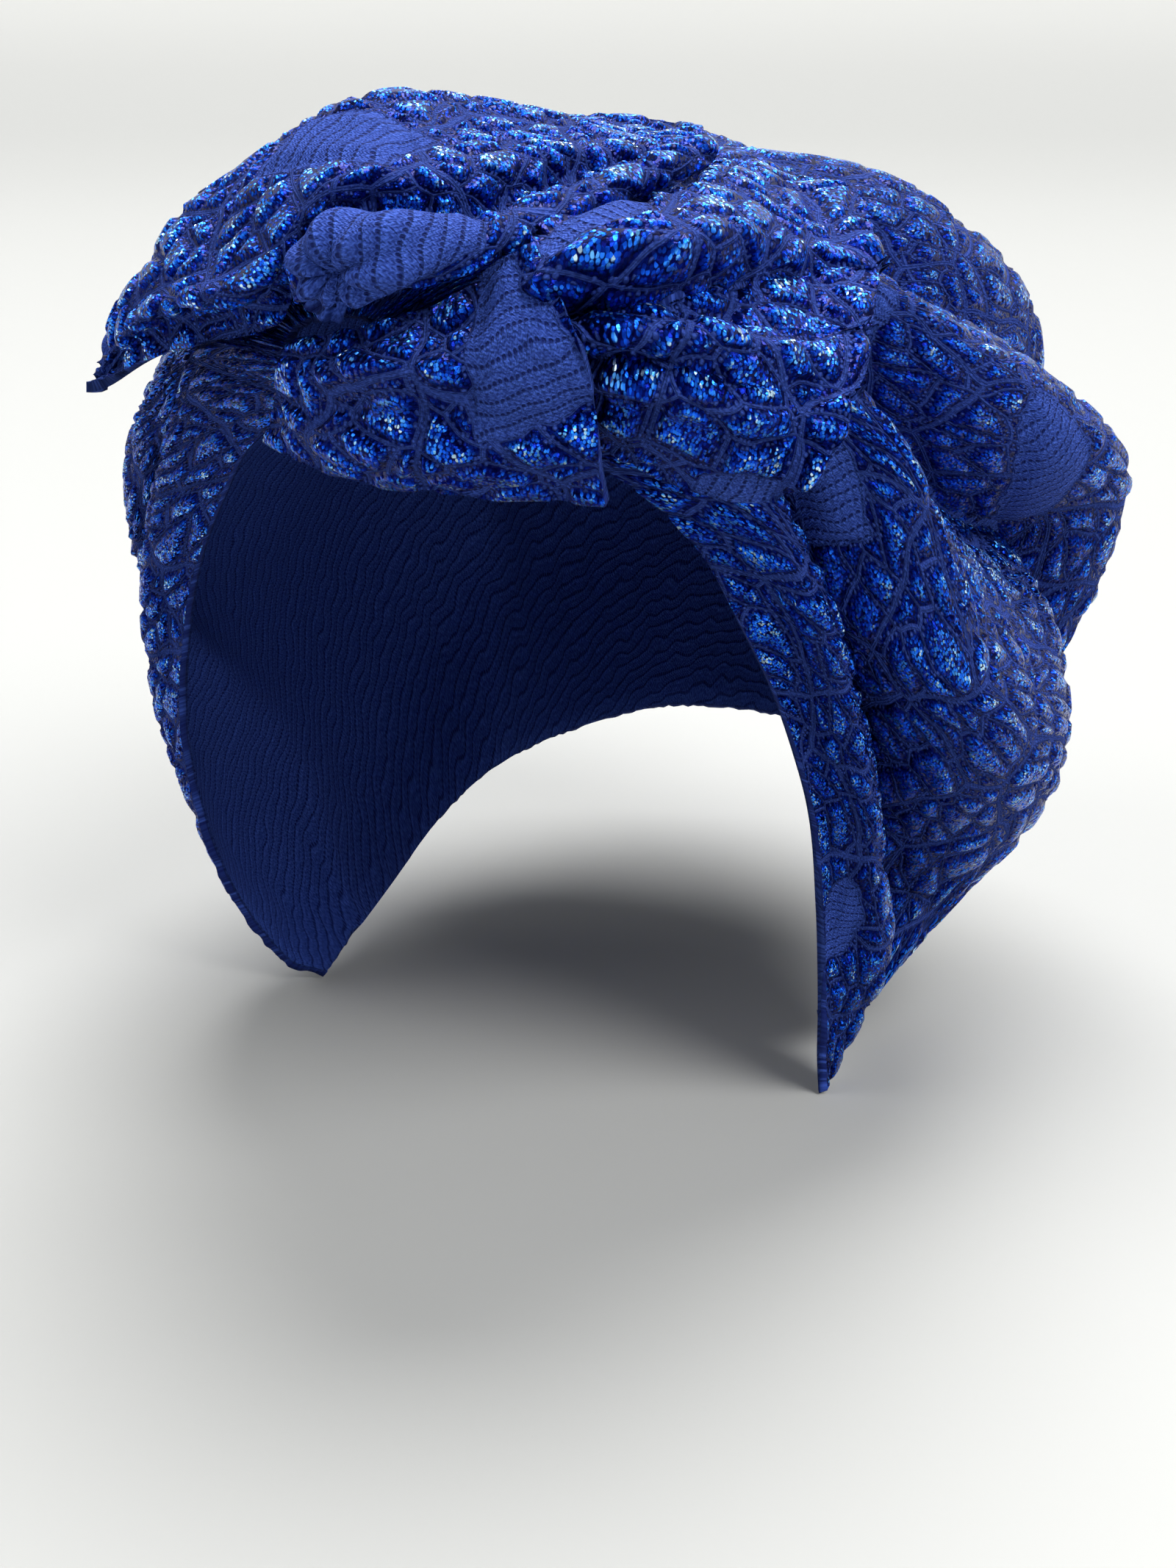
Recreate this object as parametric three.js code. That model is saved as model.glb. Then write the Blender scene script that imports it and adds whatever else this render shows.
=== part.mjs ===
// A ready-made cloth turban with a bow gathered at the front.
// Millimetres, +Z up. The wearer faces -Y and the wearer's left is +X.
// The origin lies on the head's axis, level with the hem over the forehead.

import * as THREE from "three";

// The cloth and the air between two layers that lie on each other.
const WALL = 2.4;
const LAYER_GAP = 0.3;

// How far the cap reaches from the origin.
const HALF_WIDTH = 104;
const FRONT_REACH = 104;
const BACK_REACH = 160;
const CROWN_HEIGHT = 56;
const EAR_DROP = 160;

// The deepest fold of the cap, and how far its ridge leans over the valley beside it.
const FOLD_DEPTH = 12;
const FOLD_LEAN = 5;

// Which share of the cap's half section lies below its widest point,
// how square its upper part is, and how much of its lower part climbs evenly.
const LOW_SHARE = 0.36;
const SECTION_SQUARENESS = 2.15;
const EVEN_CLIMB = 0.45;

// Folds grow out of the gather and fade towards the hem at the nape.
const FOLD_START = 0.1;
const FOLD_GROWTH = 0.3;
const FOLD_FADE_START = 0.86;
const FOLD_FADE = 0.7;
const FOLD_SHARPNESS = 2.4;

// Facets of the cap: across each fold, and along it.
const STEPS_PER_FOLD = 7;
const CAP_STEPS = 24;

// Cap sections from the gather (along 0) to the nape (along 1). Each is an arch over the head.
// left, right: the arch's ends on the hem. top: its highest point, forward and up.
// half: its half width on the left and the right, at share `at` of the way up.
const CAP_SECTIONS = [
  { along: 0.0, left: [0.11, -0.96, 0.17], right: [0.11, -0.96, 0.2],
    top: [-1.0, 0.54], half: [0.16, 0.15], at: 0.5 },
  { along: 0.08, left: [0.33, -0.88, 0.09], right: [0.3, -0.87, 0.02],
    top: [-0.94, 0.75], half: [0.4, 0.37], at: 0.4 },
  { along: 0.2, left: [0.51, -0.79, -0.03], right: [0.47, -0.77, -0.1],
    top: [-0.73, 0.87], half: [0.66, 0.6], at: 0.26 },
  { along: 0.36, left: [0.64, -0.61, -0.22], right: [0.66, -0.65, -0.29],
    top: [-0.31, 0.95], half: [0.81, 0.82], at: 0.22 },
  { along: 0.52, left: [0.71, -0.42, -0.46], right: [0.78, -0.53, -0.54],
    top: [0.15, 1.0], half: [0.89, 0.94], at: 0.28 },
  { along: 0.68, left: [0.71, -0.3, -0.67], right: [0.8, -0.4, -0.75],
    top: [0.56, 0.84], half: [1.0, 0.99], at: 0.41 },
  { along: 0.82, left: [0.7, -0.24, -0.82], right: [0.78, -0.28, -0.89],
    top: [0.91, 0.2], half: [1.0, 1.0], at: 0.52 },
  { along: 0.92, left: [0.69, -0.2, -0.91], right: [0.74, -0.21, -0.96],
    top: [1.0, -0.33], half: [0.83, 0.88], at: 0.52 },
  { along: 1.0, left: [0.69, -0.16, -0.99], right: [0.68, -0.14, -0.99],
    top: [0.7, -0.7], half: [0.66, 0.68], at: 0.42 },
];

// Fold lines of the cap, from the left hem over the crown to the right hem.
// across: where each line crosses the arch at the gather, a third and two thirds of the way, and at the nape.
// depth: how deep its valley is. ridge, lean: the ridge between this line and the next.
const FOLD_LINES = [
  { name: "left hem", across: [0.0, 0.0, 0.0, 0.0], depth: 0.0, ridge: 0.15, lean: 0.0 },
  { name: "left temple", across: [0.34, 0.195, 0.075, 0.08], depth: 0.55, ridge: 0.5, lean: 0.8 },
  { name: "left side", across: [0.44, 0.345, 0.228, 0.2], depth: 0.5, ridge: 0.45, lean: 0.7 },
  { name: "left crown", across: [0.5, 0.43, 0.335, 0.3], depth: 0.35, ridge: 0.3, lean: 0.4 },
  { name: "middle crown", across: [0.56, 0.52, 0.46, 0.4], depth: 0.25, ridge: 0.25, lean: 0.0 },
  { name: "right crown", across: [0.63, 0.62, 0.6, 0.57], depth: 0.3, ridge: 0.35, lean: -0.3 },
  { name: "right side", across: [0.72, 0.74, 0.74, 0.74], depth: 0.4, ridge: 0.4, lean: -0.5 },
  { name: "right temple", across: [0.8, 0.845, 0.885, 0.93], depth: 0.4, ridge: 0.15, lean: 0.0 },
  { name: "right hem", across: [1.0, 1.0, 1.0, 1.0], depth: 0.0, ridge: 0.0, lean: 0.0 },
];
const FOLD_STATIONS = [0, 1 / 3, 2 / 3, 1];

// The bow's wings are sheets through sections, from the row where each starts to the row where it ends.
// A section runs from its low edge through two places to its top edge, each [sideways, forward or back, up]
// as shares of the cap's reaches, so that the bow stays on the cap.
// Upper wing: from the tip of its tail, over the gather and the crown, to its end above the left temple.
const UPPER_WING = [
  { along: 0.0, low: [-0.63, -0.94, 0.2], lower: [-0.63, -0.93, 0.23],
    upper: [-0.64, -0.9, 0.25], top: [-0.65, -0.87, 0.26] },
  { along: 0.14, low: [-0.44, -1.0, 0.35], lower: [-0.44, -1.04, 0.47],
    upper: [-0.55, -0.94, 0.48], top: [-0.66, -0.77, 0.43] },
  { along: 0.3, low: [-0.27, -1.03, 0.45], lower: [-0.29, -1.09, 0.59],
    upper: [-0.45, -0.94, 0.67], top: [-0.58, -0.69, 0.57] },
  { along: 0.42, low: [-0.1, -1.05, 0.56], lower: [-0.13, -1.12, 0.69],
    upper: [-0.4, -0.88, 0.89], top: [-0.55, -0.58, 0.77] },
  { along: 0.52, low: [-0.05, -1.01, 0.77], lower: [-0.06, -1.06, 0.94],
    upper: [-0.3, -0.83, 1.07], top: [-0.49, -0.43, 0.9] },
  { along: 0.64, low: [0.06, -1.0, 0.87], lower: [0.03, -1.0, 1.06],
    upper: [-0.13, -0.73, 1.25], top: [-0.32, -0.27, 1.04] },
  { along: 0.78, low: [0.23, -0.92, 0.85], lower: [0.19, -0.87, 1.04],
    upper: [0.02, -0.56, 1.24], top: [-0.13, -0.1, 1.03] },
  { along: 0.9, low: [0.32, -0.65, 0.94], lower: [0.27, -0.58, 1.05],
    upper: [0.15, -0.35, 1.16], top: [0.05, 0.01, 1.03] },
  { along: 1.0, low: [0.41, -0.31, 1.01], lower: [0.37, -0.25, 1.04],
    upper: [0.3, -0.15, 1.06], top: [0.2, 0.03, 1.04] },
];
// Front tail: from the gather to its cut edge above the left brow.
const FRONT_TAIL = [
  { along: 0.0, low: [-0.22, -0.95, 0.06], lower: [-0.15, -1.03, 0.24],
    upper: [-0.11, -1.06, 0.38], top: [-0.09, -1.05, 0.46] },
  { along: 0.2, low: [-0.07, -1.01, 0.01], lower: [0.0, -1.11, 0.21],
    upper: [0.05, -1.13, 0.41], top: [0.03, -1.08, 0.51] },
  { along: 0.45, low: [0.15, -1.04, -0.01], lower: [0.22, -1.14, 0.21],
    upper: [0.23, -1.16, 0.45], top: [0.18, -1.08, 0.59] },
  { along: 0.75, low: [0.36, -1.01, -0.01], lower: [0.42, -1.12, 0.24],
    upper: [0.41, -1.12, 0.53], top: [0.33, -1.03, 0.67] },
  { along: 1.0, low: [0.52, -1.0, -0.01], lower: [0.54, -1.07, 0.26],
    upper: [0.52, -1.08, 0.53], top: [0.44, -1.02, 0.73] },
];
// Side wing: from the gather to its cut edge over the left temple.
const SIDE_WING = [
  { along: 0.0, low: [0.27, -1.02, 0.52], lower: [0.28, -1.04, 0.56],
    upper: [0.27, -1.04, 0.59], top: [0.25, -1.01, 0.63] },
  { along: 0.25, low: [0.41, -0.97, 0.25], lower: [0.42, -1.01, 0.47],
    upper: [0.42, -1.0, 0.64], top: [0.35, -0.9, 0.77] },
  { along: 0.5, low: [0.54, -0.89, 0.06], lower: [0.61, -0.99, 0.45],
    upper: [0.6, -0.96, 0.74], top: [0.45, -0.7, 0.87] },
  { along: 0.75, low: [0.66, -0.84, -0.01], lower: [0.75, -0.88, 0.35],
    upper: [0.68, -0.66, 0.7], top: [0.43, -0.24, 1.0] },
  { along: 1.0, low: [0.76, -0.78, -0.02], lower: [0.82, -0.7, 0.27],
    upper: [0.74, -0.37, 0.58], top: [0.53, 0.0, 0.84] },
];
// Pleats of the wings, from the low edge to the top edge. root, end: where each line crosses the wing at the
// gather and at the far edge. rise: how far it stands out (+) or sinks in (-) as a share of the pleat's size.
// They grow out of the gather, which is halfway along the upper wing, and fade towards the far edge.
const PLEAT_RISE = 7;
const PLEAT_GROWTH = 0.3;
const PLEAT_FADE = 0.6;
const EDGE_GATHER = 0;
const MIDDLE_GATHER = 0.5;
const UPPER_PLEATS = [
  { root: 0.0, end: 0.0, rise: 0.0 },
  { root: 0.16, end: 0.14, rise: -0.35 },
  { root: 0.3, end: 0.32, rise: 0.5 },
  { root: 0.5, end: 0.52, rise: -0.5 },
  { root: 0.74, end: 0.78, rise: 0.35 },
  { root: 1.0, end: 1.0, rise: 0.0 },
];
const FRONT_PLEATS = [
  { root: 0.0, end: 0.0, rise: 0.0 },
  { root: 0.24, end: 0.22, rise: 0.3 },
  { root: 0.42, end: 0.4, rise: -0.2 },
  { root: 0.62, end: 0.66, rise: 0.35 },
  { root: 0.84, end: 0.86, rise: -0.1 },
  { root: 1.0, end: 1.0, rise: 0.0 },
];
const SIDE_PLEATS = [
  { root: 0.0, end: 0.0, rise: 0.0 },
  { root: 0.12, end: 0.1, rise: 0.2 },
  { root: 0.25, end: 0.2, rise: -0.3 },
  { root: 0.38, end: 0.34, rise: 0.6 },
  { root: 0.53, end: 0.52, rise: -1.0 },
  { root: 0.7, end: 0.68, rise: 0.7 },
  { root: 0.86, end: 0.84, rise: 0.5 },
  { root: 1.0, end: 1.0, rise: 0.0 },
];
const WING_LINES = ["low", "lower", "upper", "top"];
const WING_STATIONS = [0, 1 / 3, 2 / 3, 1];
const WING_COLUMNS = 22;
const WING_ROWS = 14;

// Knot wrap: a band rolled round a line of centres, from its round left end to its thin right end.
// high, deep: the roll's half height and half depth as shares of the roll's size.
// from, to: where its cross section starts and ends, in degrees from straight down over the front.
const ROLL = 11.5;
const WRAP_SECTIONS = [
  { along: 0.0, centre: [-0.02, -1.08, 0.71], high: 0.72, deep: 0.55, from: 45, to: 240 },
  { along: 0.12, centre: [0.08, -1.12, 0.76], high: 1.0, deep: 0.75, from: 40, to: 240 },
  { along: 0.3, centre: [0.21, -1.14, 0.79], high: 0.88, deep: 0.72, from: 35, to: 235 },
  { along: 0.5, centre: [0.31, -1.07, 0.82], high: 0.52, deep: 0.6, from: 35, to: 225 },
  { along: 0.68, centre: [0.37, -0.92, 0.89], high: 0.38, deep: 0.5, from: 35, to: 215 },
  { along: 0.84, centre: [0.41, -0.69, 0.95], high: 0.33, deep: 0.42, from: 35, to: 210 },
  { along: 1.0, centre: [0.44, -0.4, 1.03], high: 0.3, deep: 0.38, from: 40, to: 200 },
];
const WRAP_COLUMNS = 12;
const WRAP_ROWS = 20;

// Knot core: a short bundle of gathered cloth inside the wrap's left end.
const CORE_RADIUS = 0.53 * ROLL - WALL;
const CORE_PLEAT = 0.7;
const CORE_PLEATS = 6;
const CORE_SIDES = 24;
const CORE_STEPS = 6;
const CORE_TOP = [0.04, -1.08, 0.69];
const CORE_FOOT = [0.0, -1.07, 0.57];

// How a layer of cloth lies on those below: how far away it feels them, how wide it averages them,
// how much must be felt before it is moved, how far flat facets may sag, and how finely a layer is sampled.
const TOUCH_REACH = 18;
const TOUCH_SPREAD = 7;
const TOUCH_LEAST = 0.02;
const FACET_SAG = 0.3;
const LAYER_COLUMNS = 96;
const LAYER_ROWS = 60;

// The step along a face, as a share of it, over which its directions are measured.
const STEP = 0.002;

const CLOTH_BLUE = 0x223b7c;
const CLOTH_ROUGHNESS = 0.7;

// Rises smoothly from 0 to 1 as the value goes from 0 to 1.
function ease(value) {
  const share = Math.min(Math.max(value, 0), 1);
  return share * share * (3 - 2 * share);
}

// A smooth curve through rows of numbers, which stand at the given stations.
function through(stations, rows, station) {
  const last = stations.length - 1;
  let index = 0;
  while (index < last - 1 && station > stations[index + 1]) index += 1;
  const slope = (i, k) => (rows[i + 1][k] - rows[i][k]) / (stations[i + 1] - stations[i]);
  const tangent = (i, k) => {
    if (i === 0) return slope(0, k);
    if (i === last) return slope(last - 1, k);
    const before = stations[i] - stations[i - 1];
    const after = stations[i + 1] - stations[i];
    return (slope(i - 1, k) * after + slope(i, k) * before) / (before + after);
  };
  const span = stations[index + 1] - stations[index];
  const f = (station - stations[index]) / span;
  return rows[index].map((value, k) => {
    const start = value * (2 * f ** 3 - 3 * f ** 2 + 1);
    const leaving = tangent(index, k) * span * (f ** 3 - 2 * f ** 2 + f);
    const end = rows[index + 1][k] * (3 * f ** 2 - 2 * f ** 3);
    const arriving = tangent(index + 1, k) * span * (f ** 3 - f ** 2);
    return start + leaving + end + arriving;
  });
}

// Turns shares of the cap's reaches into a place: sideways, forward (-) or back (+), down (-) or up (+).
function forwardBack(share) {
  return share * (share < 0 ? FRONT_REACH : BACK_REACH);
}
function upDown(share) {
  return share * (share < 0 ? EAR_DROP : CROWN_HEIGHT);
}
function place([side, back, up]) {
  return new THREE.Vector3(side * HALF_WIDTH, forwardBack(back), upDown(up));
}

// One cap section in millimetres, for the left (side 1) or the right (side -1).
function capSection(along, side) {
  const rows = CAP_SECTIONS.map((section) => {
    const hem = place(side > 0 ? section.left : section.right);
    const half = section.half[side > 0 ? 0 : 1] * HALF_WIDTH;
    return [hem.x, hem.y, hem.z, forwardBack(section.top[0]), upDown(section.top[1]), half, section.at];
  });
  const stations = CAP_SECTIONS.map((section) => section.along);
  return through(stations, rows, along);
}

// The cap's form without its folds.
// across runs from the left hem (0) over the top (0.5) to the right hem (1).
function capForm(across, along) {
  const side = across <= 0.5 ? 1 : -1;
  const [hemX, hemY, hemZ, topY, topZ, half, at] = capSection(along, side);
  const climb = side > 0 ? 2 * across : 2 * (1 - across);
  let x = 0;
  let share = 0;
  if (climb < LOW_SHARE) {
    const turn = (climb / LOW_SHARE) * (Math.PI / 2);
    x = hemX + (half - hemX) * Math.sin(turn);
    share = at * ((1 - EVEN_CLIMB) * (1 - Math.cos(turn)) + EVEN_CLIMB * (climb / LOW_SHARE));
  } else {
    const turn = ((climb - LOW_SHARE) / (1 - LOW_SHARE)) * (Math.PI / 2);
    const power = 2 / SECTION_SQUARENESS;
    x = half * Math.max(Math.cos(turn), 0) ** power;
    share = at + (1 - at) * Math.sin(turn) ** power;
  }
  return new THREE.Vector3(side * x, hemY + (topY - hemY) * share, hemZ + (topZ - hemZ) * share);
}

// Where fold line `index` crosses the arch at this section.
function foldLine(index, along) {
  return through(FOLD_STATIONS, FOLD_LINES[index].across.map((value) => [value]), along)[0];
}

// The cap's form at a place counted in folds: 2.5 is the middle of the third fold.
function foldPlace(fold, along) {
  const index = Math.min(Math.floor(fold), FOLD_LINES.length - 2);
  const share = fold - index;
  return foldLine(index, along) * (1 - share) + foldLine(index + 1, along) * share;
}

// How far the folds have grown at a section.
function foldGrowth(along) {
  const grown = ease((along - FOLD_START) / FOLD_GROWTH);
  const faded = 1 - FOLD_FADE * ease((along - FOLD_FADE_START) / (1 - FOLD_FADE_START));
  return grown * faded;
}

// The two directions along the cap's form at a place, and the way out of it.
function capFrame(across, along) {
  const sideways = capForm(Math.min(across + STEP, 1), along).sub(capForm(Math.max(across - STEP, 0), along));
  const onward = capForm(across, Math.min(along + STEP, 1)).sub(capForm(across, Math.max(along - STEP, 0)));
  return { sideways: sideways.clone().normalize(), out: onward.cross(sideways).normalize() };
}

// The cap's outer face with its folds.
function capFace(fold, along) {
  const index = Math.min(Math.floor(fold), FOLD_LINES.length - 2);
  const share = fold - index;
  const line = FOLD_LINES[index];
  const nextDepth = FOLD_LINES[index + 1].depth;
  const valley = Math.abs(2 * share - 1) ** FOLD_SHARPNESS;
  const rise = line.ridge * (1 - valley) - (line.depth * (1 - share) + nextDepth * share) * valley;
  const growth = foldGrowth(along);
  const across = foldPlace(fold, along);
  const { sideways, out } = capFrame(across, along);
  const point = capForm(across, along).addScaledVector(out, rise * FOLD_DEPTH * growth);
  return point.addScaledVector(sideways, -line.lean * FOLD_LEAN * (1 - valley) * growth);
}

// The height of the ridges beside a place, blended from the middle of one fold to the middle of the next.
function ridgeHeight(across, along) {
  let index = 0;
  while (index < FOLD_LINES.length - 2 && across > foldLine(index + 1, along)) index += 1;
  const start = foldLine(index, along);
  const share = (across - start) / (foldLine(index + 1, along) - start);
  const beside = Math.min(Math.max(share < 0.5 ? index - 1 : index + 1, 0), FOLD_LINES.length - 2);
  const nearness = Math.abs(share - 0.5);
  return FOLD_LINES[index].ridge * (1 - nearness) + FOLD_LINES[beside].ridge * nearness;
}

// The face that cloth over the cap touches: it spans the valleys from ridge to ridge.
function capEnvelope(across, along) {
  const { out } = capFrame(across, along);
  const rise = ridgeHeight(across, along) * FOLD_DEPTH * foldGrowth(along);
  return capForm(across, along).addScaledVector(out, rise);
}

// A closed solid between a face and the same face moved in by the wall.
// face gives a point for column 0..columns and row 0..rows, and turns its front outwards.
function clothSolid(face, columns, rows) {
  const at = (column, row) => column * (rows + 1) + row;
  const outer = [];
  for (let column = 0; column <= columns; column += 1) {
    for (let row = 0; row <= rows; row += 1) outer.push(face(column, row));
  }
  const inner = outer.map((point, index) => {
    const column = Math.floor(index / (rows + 1));
    const row = index % (rows + 1);
    const right = outer[at(Math.min(column + 1, columns), row)];
    const left = outer[at(Math.max(column - 1, 0), row)];
    const next = outer[at(column, Math.min(row + 1, rows))];
    const back = outer[at(column, Math.max(row - 1, 0))];
    const sideways = new THREE.Vector3().subVectors(right, left);
    const normal = new THREE.Vector3().subVectors(next, back).cross(sideways).normalize();
    return point.clone().addScaledVector(normal, -WALL);
  });
  const shift = outer.length;
  const triangles = [];
  const quad = (a, b, c, d) => triangles.push(a, b, c, a, c, d);
  for (let column = 0; column < columns; column += 1) {
    for (let row = 0; row < rows; row += 1) {
      const a = at(column, row);
      const b = at(column, row + 1);
      const c = at(column + 1, row + 1);
      const d = at(column + 1, row);
      quad(a, b, c, d);
      quad(a + shift, d + shift, c + shift, b + shift);
    }
  }
  for (let column = 0; column < columns; column += 1) {
    const near = [at(column, 0), at(column + 1, 0)];
    const far = [at(column, rows), at(column + 1, rows)];
    quad(near[0], near[1], near[1] + shift, near[0] + shift);
    quad(far[1], far[0], far[0] + shift, far[1] + shift);
  }
  for (let row = 0; row < rows; row += 1) {
    const first = [at(0, row), at(0, row + 1)];
    const last = [at(columns, row), at(columns, row + 1)];
    quad(first[1], first[0], first[0] + shift, first[1] + shift);
    quad(last[0], last[1], last[1] + shift, last[0] + shift);
  }
  const geometry = new THREE.BufferGeometry();
  const positions = [...outer, ...inner].flatMap((point) => point.toArray());
  geometry.setAttribute("position", new THREE.Float32BufferAttribute(positions, 3));
  geometry.setIndex(triangles);
  geometry.computeVertexNormals();
  return geometry;
}

function clothPiece(name, geometry) {
  const material = new THREE.MeshStandardMaterial({ color: CLOTH_BLUE, roughness: CLOTH_ROUGHNESS });
  const mesh = new THREE.Mesh(geometry, material);
  mesh.name = name;
  return mesh;
}

function crownCap() {
  const columns = (FOLD_LINES.length - 1) * STEPS_PER_FOLD;
  const face = (column, row) => capFace(column / STEPS_PER_FOLD, row / CAP_STEPS);
  return clothPiece("crown_cap", clothSolid(face, columns, CAP_STEPS));
}

// A wing without its pleats. across runs from its low edge (0) to its top edge (1).
function wingForm(sections, across, along) {
  const rows = sections.map((section) => WING_LINES.flatMap((line) => place(section[line]).toArray()));
  const numbers = through(sections.map((section) => section.along), rows, along);
  const points = WING_STATIONS.map((station, index) => numbers.slice(3 * index, 3 * index + 3));
  return new THREE.Vector3(...through(WING_STATIONS, points, across));
}

// How far the pleats stand out at a place on a wing. gather is the share along where they spring from.
function pleatRise(pleats, across, along, gather) {
  const reach = Math.abs(along - gather) / Math.max(gather, 1 - gather);
  const lines = pleats.map((pleat) => pleat.root + (pleat.end - pleat.root) * reach);
  let index = 0;
  while (index < lines.length - 2 && across > lines[index + 1]) index += 1;
  const share = ease((across - lines[index]) / (lines[index + 1] - lines[index]));
  const rise = pleats[index].rise * (1 - share) + pleats[index + 1].rise * share;
  return rise * PLEAT_RISE * ease(reach / PLEAT_GROWTH) * (1 - PLEAT_FADE * ease(reach));
}

// A wing's outer face with its pleats.
function wingFace(sections, pleats, gather, across, along) {
  const point = wingForm(sections, across, along);
  const up = wingForm(sections, Math.min(across + STEP, 1), along);
  const down = wingForm(sections, Math.max(across - STEP, 0), along);
  const onward = wingForm(sections, across, Math.min(along + STEP, 1));
  const back = wingForm(sections, across, Math.max(along - STEP, 0));
  const outward = onward.sub(back).cross(up.sub(down)).normalize();
  return point.addScaledVector(outward, pleatRise(pleats, across, along, gather));
}

// A grid of points on a face, with the way out at each, to lay the next layer of cloth on.
function layer(face, columns, rows) {
  const points = [];
  for (let column = 0; column <= columns; column += 1) {
    points.push([]);
    for (let row = 0; row <= rows; row += 1) points[column].push(face(column / columns, row / rows));
  }
  const spots = [];
  for (let column = 1; column < columns; column += 1) {
    for (let row = 1; row < rows; row += 1) {
      const onward = points[column][row + 1].clone().sub(points[column][row - 1]);
      const sideways = points[column + 1][row].clone().sub(points[column - 1][row]);
      spots.push({ point: points[column][row], out: onward.cross(sideways).normalize() });
    }
  }
  return spots;
}

// Moves a point of an upper layer's outer face out until its wall and the air under it fit over
// the layers below.
// The layer below is taken as the mean of its spots near the point, so that the cloth stays smooth.
function laidOn(point, layers) {
  const needed = WALL + LAYER_GAP + FACET_SAG;
  const moved = point.clone();
  for (const spots of layers) {
    let weights = 0;
    let height = 0;
    const out = new THREE.Vector3();
    for (const spot of spots) {
      const distance = spot.point.distanceTo(moved);
      if (distance > TOUCH_REACH) continue;
      const weight = Math.exp(-((distance / TOUCH_SPREAD) ** 2));
      weights += weight;
      out.addScaledVector(spot.out, weight);
      height += weight * moved.clone().sub(spot.point).dot(spot.out);
    }
    if (weights < TOUCH_LEAST) continue;
    height /= weights;
    if (height < needed) moved.addScaledVector(out.normalize(), needed - height);
  }
  return moved;
}

function wing(name, face) {
  const corner = (column, row) => face(column / WING_COLUMNS, row / WING_ROWS);
  return clothPiece(name, clothSolid(corner, WING_COLUMNS, WING_ROWS));
}

// The knot wrap's outer face. around runs from the cross section's start (0) to its end (1).
function wrapFace(around, along) {
  const stations = WRAP_SECTIONS.map((section) => section.along);
  const rows = WRAP_SECTIONS.map((section) => {
    const centre = place(section.centre).toArray();
    return [...centre, section.high * ROLL, section.deep * ROLL, section.from, section.to];
  });
  const [x, y, z, high, deep, from, to] = through(stations, rows, along);
  const ahead = through(stations, rows, Math.min(along + STEP, 1));
  const behind = through(stations, rows, Math.max(along - STEP, 0));
  const front = new THREE.Vector3(ahead[1] - behind[1], behind[0] - ahead[0], 0).normalize();
  const angle = THREE.MathUtils.degToRad(from + (to - from) * around);
  const point = new THREE.Vector3(x, y, z - high * Math.cos(angle));
  return point.addScaledVector(front, deep * Math.sin(angle));
}
function knotWrap() {
  const face = (column, row) => wrapFace(column / WRAP_COLUMNS, row / WRAP_ROWS);
  return clothPiece("knot_wrap", clothSolid(face, WRAP_COLUMNS, WRAP_ROWS));
}

// The knot core's surface, closed by a cap at each end.
function knotCore() {
  const top = place(CORE_TOP);
  const foot = place(CORE_FOOT);
  const axis = top.clone().sub(foot).normalize();
  const side = new THREE.Vector3(0, 1, 0).cross(axis).normalize();
  const front = axis.clone().cross(side);
  const positions = [foot, top].flatMap((point) => point.toArray());
  for (let step = 0; step <= CORE_STEPS; step += 1) {
    const centre = foot.clone().lerp(top, step / CORE_STEPS);
    for (let corner = 0; corner < CORE_SIDES; corner += 1) {
      const angle = (2 * Math.PI * corner) / CORE_SIDES;
      const radius = CORE_RADIUS + CORE_PLEAT * Math.cos(CORE_PLEATS * angle);
      const point = centre.clone().addScaledVector(side, radius * Math.cos(angle));
      positions.push(...point.addScaledVector(front, radius * Math.sin(angle)).toArray());
    }
  }
  const at = (step, corner) => 2 + step * CORE_SIDES + (corner % CORE_SIDES);
  const triangles = [];
  for (let corner = 0; corner < CORE_SIDES; corner += 1) {
    triangles.push(0, at(0, corner + 1), at(0, corner));
    triangles.push(1, at(CORE_STEPS, corner), at(CORE_STEPS, corner + 1));
    for (let step = 0; step < CORE_STEPS; step += 1) {
      triangles.push(at(step, corner), at(step, corner + 1), at(step + 1, corner + 1));
      triangles.push(at(step, corner), at(step + 1, corner + 1), at(step + 1, corner));
    }
  }
  const geometry = new THREE.BufferGeometry();
  geometry.setAttribute("position", new THREE.Float32BufferAttribute(positions, 3));
  geometry.setIndex(triangles);
  geometry.computeVertexNormals();
  return clothPiece("knot_core", geometry);
}

// The layers of the bow, from the inside out.
const capLayer = layer(capEnvelope, LAYER_COLUMNS, LAYER_ROWS);
function laidWing(sections, pleats, gather, layers) {
  return (across, along) => laidOn(wingFace(sections, pleats, gather, across, along), layers);
}
const sideFace = laidWing(SIDE_WING, SIDE_PLEATS, EDGE_GATHER, [capLayer]);
const sideLayer = layer(sideFace, LAYER_COLUMNS / 2, LAYER_ROWS / 2);
const frontFace = laidWing(FRONT_TAIL, FRONT_PLEATS, EDGE_GATHER, [capLayer, sideLayer]);
const upperFace = laidWing(UPPER_WING, UPPER_PLEATS, MIDDLE_GATHER, [capLayer, sideLayer]);

const turban = new THREE.Group();
turban.add(crownCap());
turban.add(wing("side_wing", sideFace));
turban.add(wing("front_tail", frontFace));
turban.add(wing("upper_wing", upperFace));
turban.add(knotWrap());
turban.add(knotCore());

export default turban;
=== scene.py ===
"""Looks of a ready-made cloth turban with a gathered bow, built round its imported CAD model.

The cloth is a blue knit: matte cords close in puffed cells that hold glitter, with plain matte leaves between.
Lengths are millimetres in the tables and the cloth maths, and metres once they reach Blender.
"""

import logging
import math
from dataclasses import dataclass, field
from enum import Enum
from typing import Callable

import bpy
import numpy as np
from mathutils import Matrix, Vector


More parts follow.
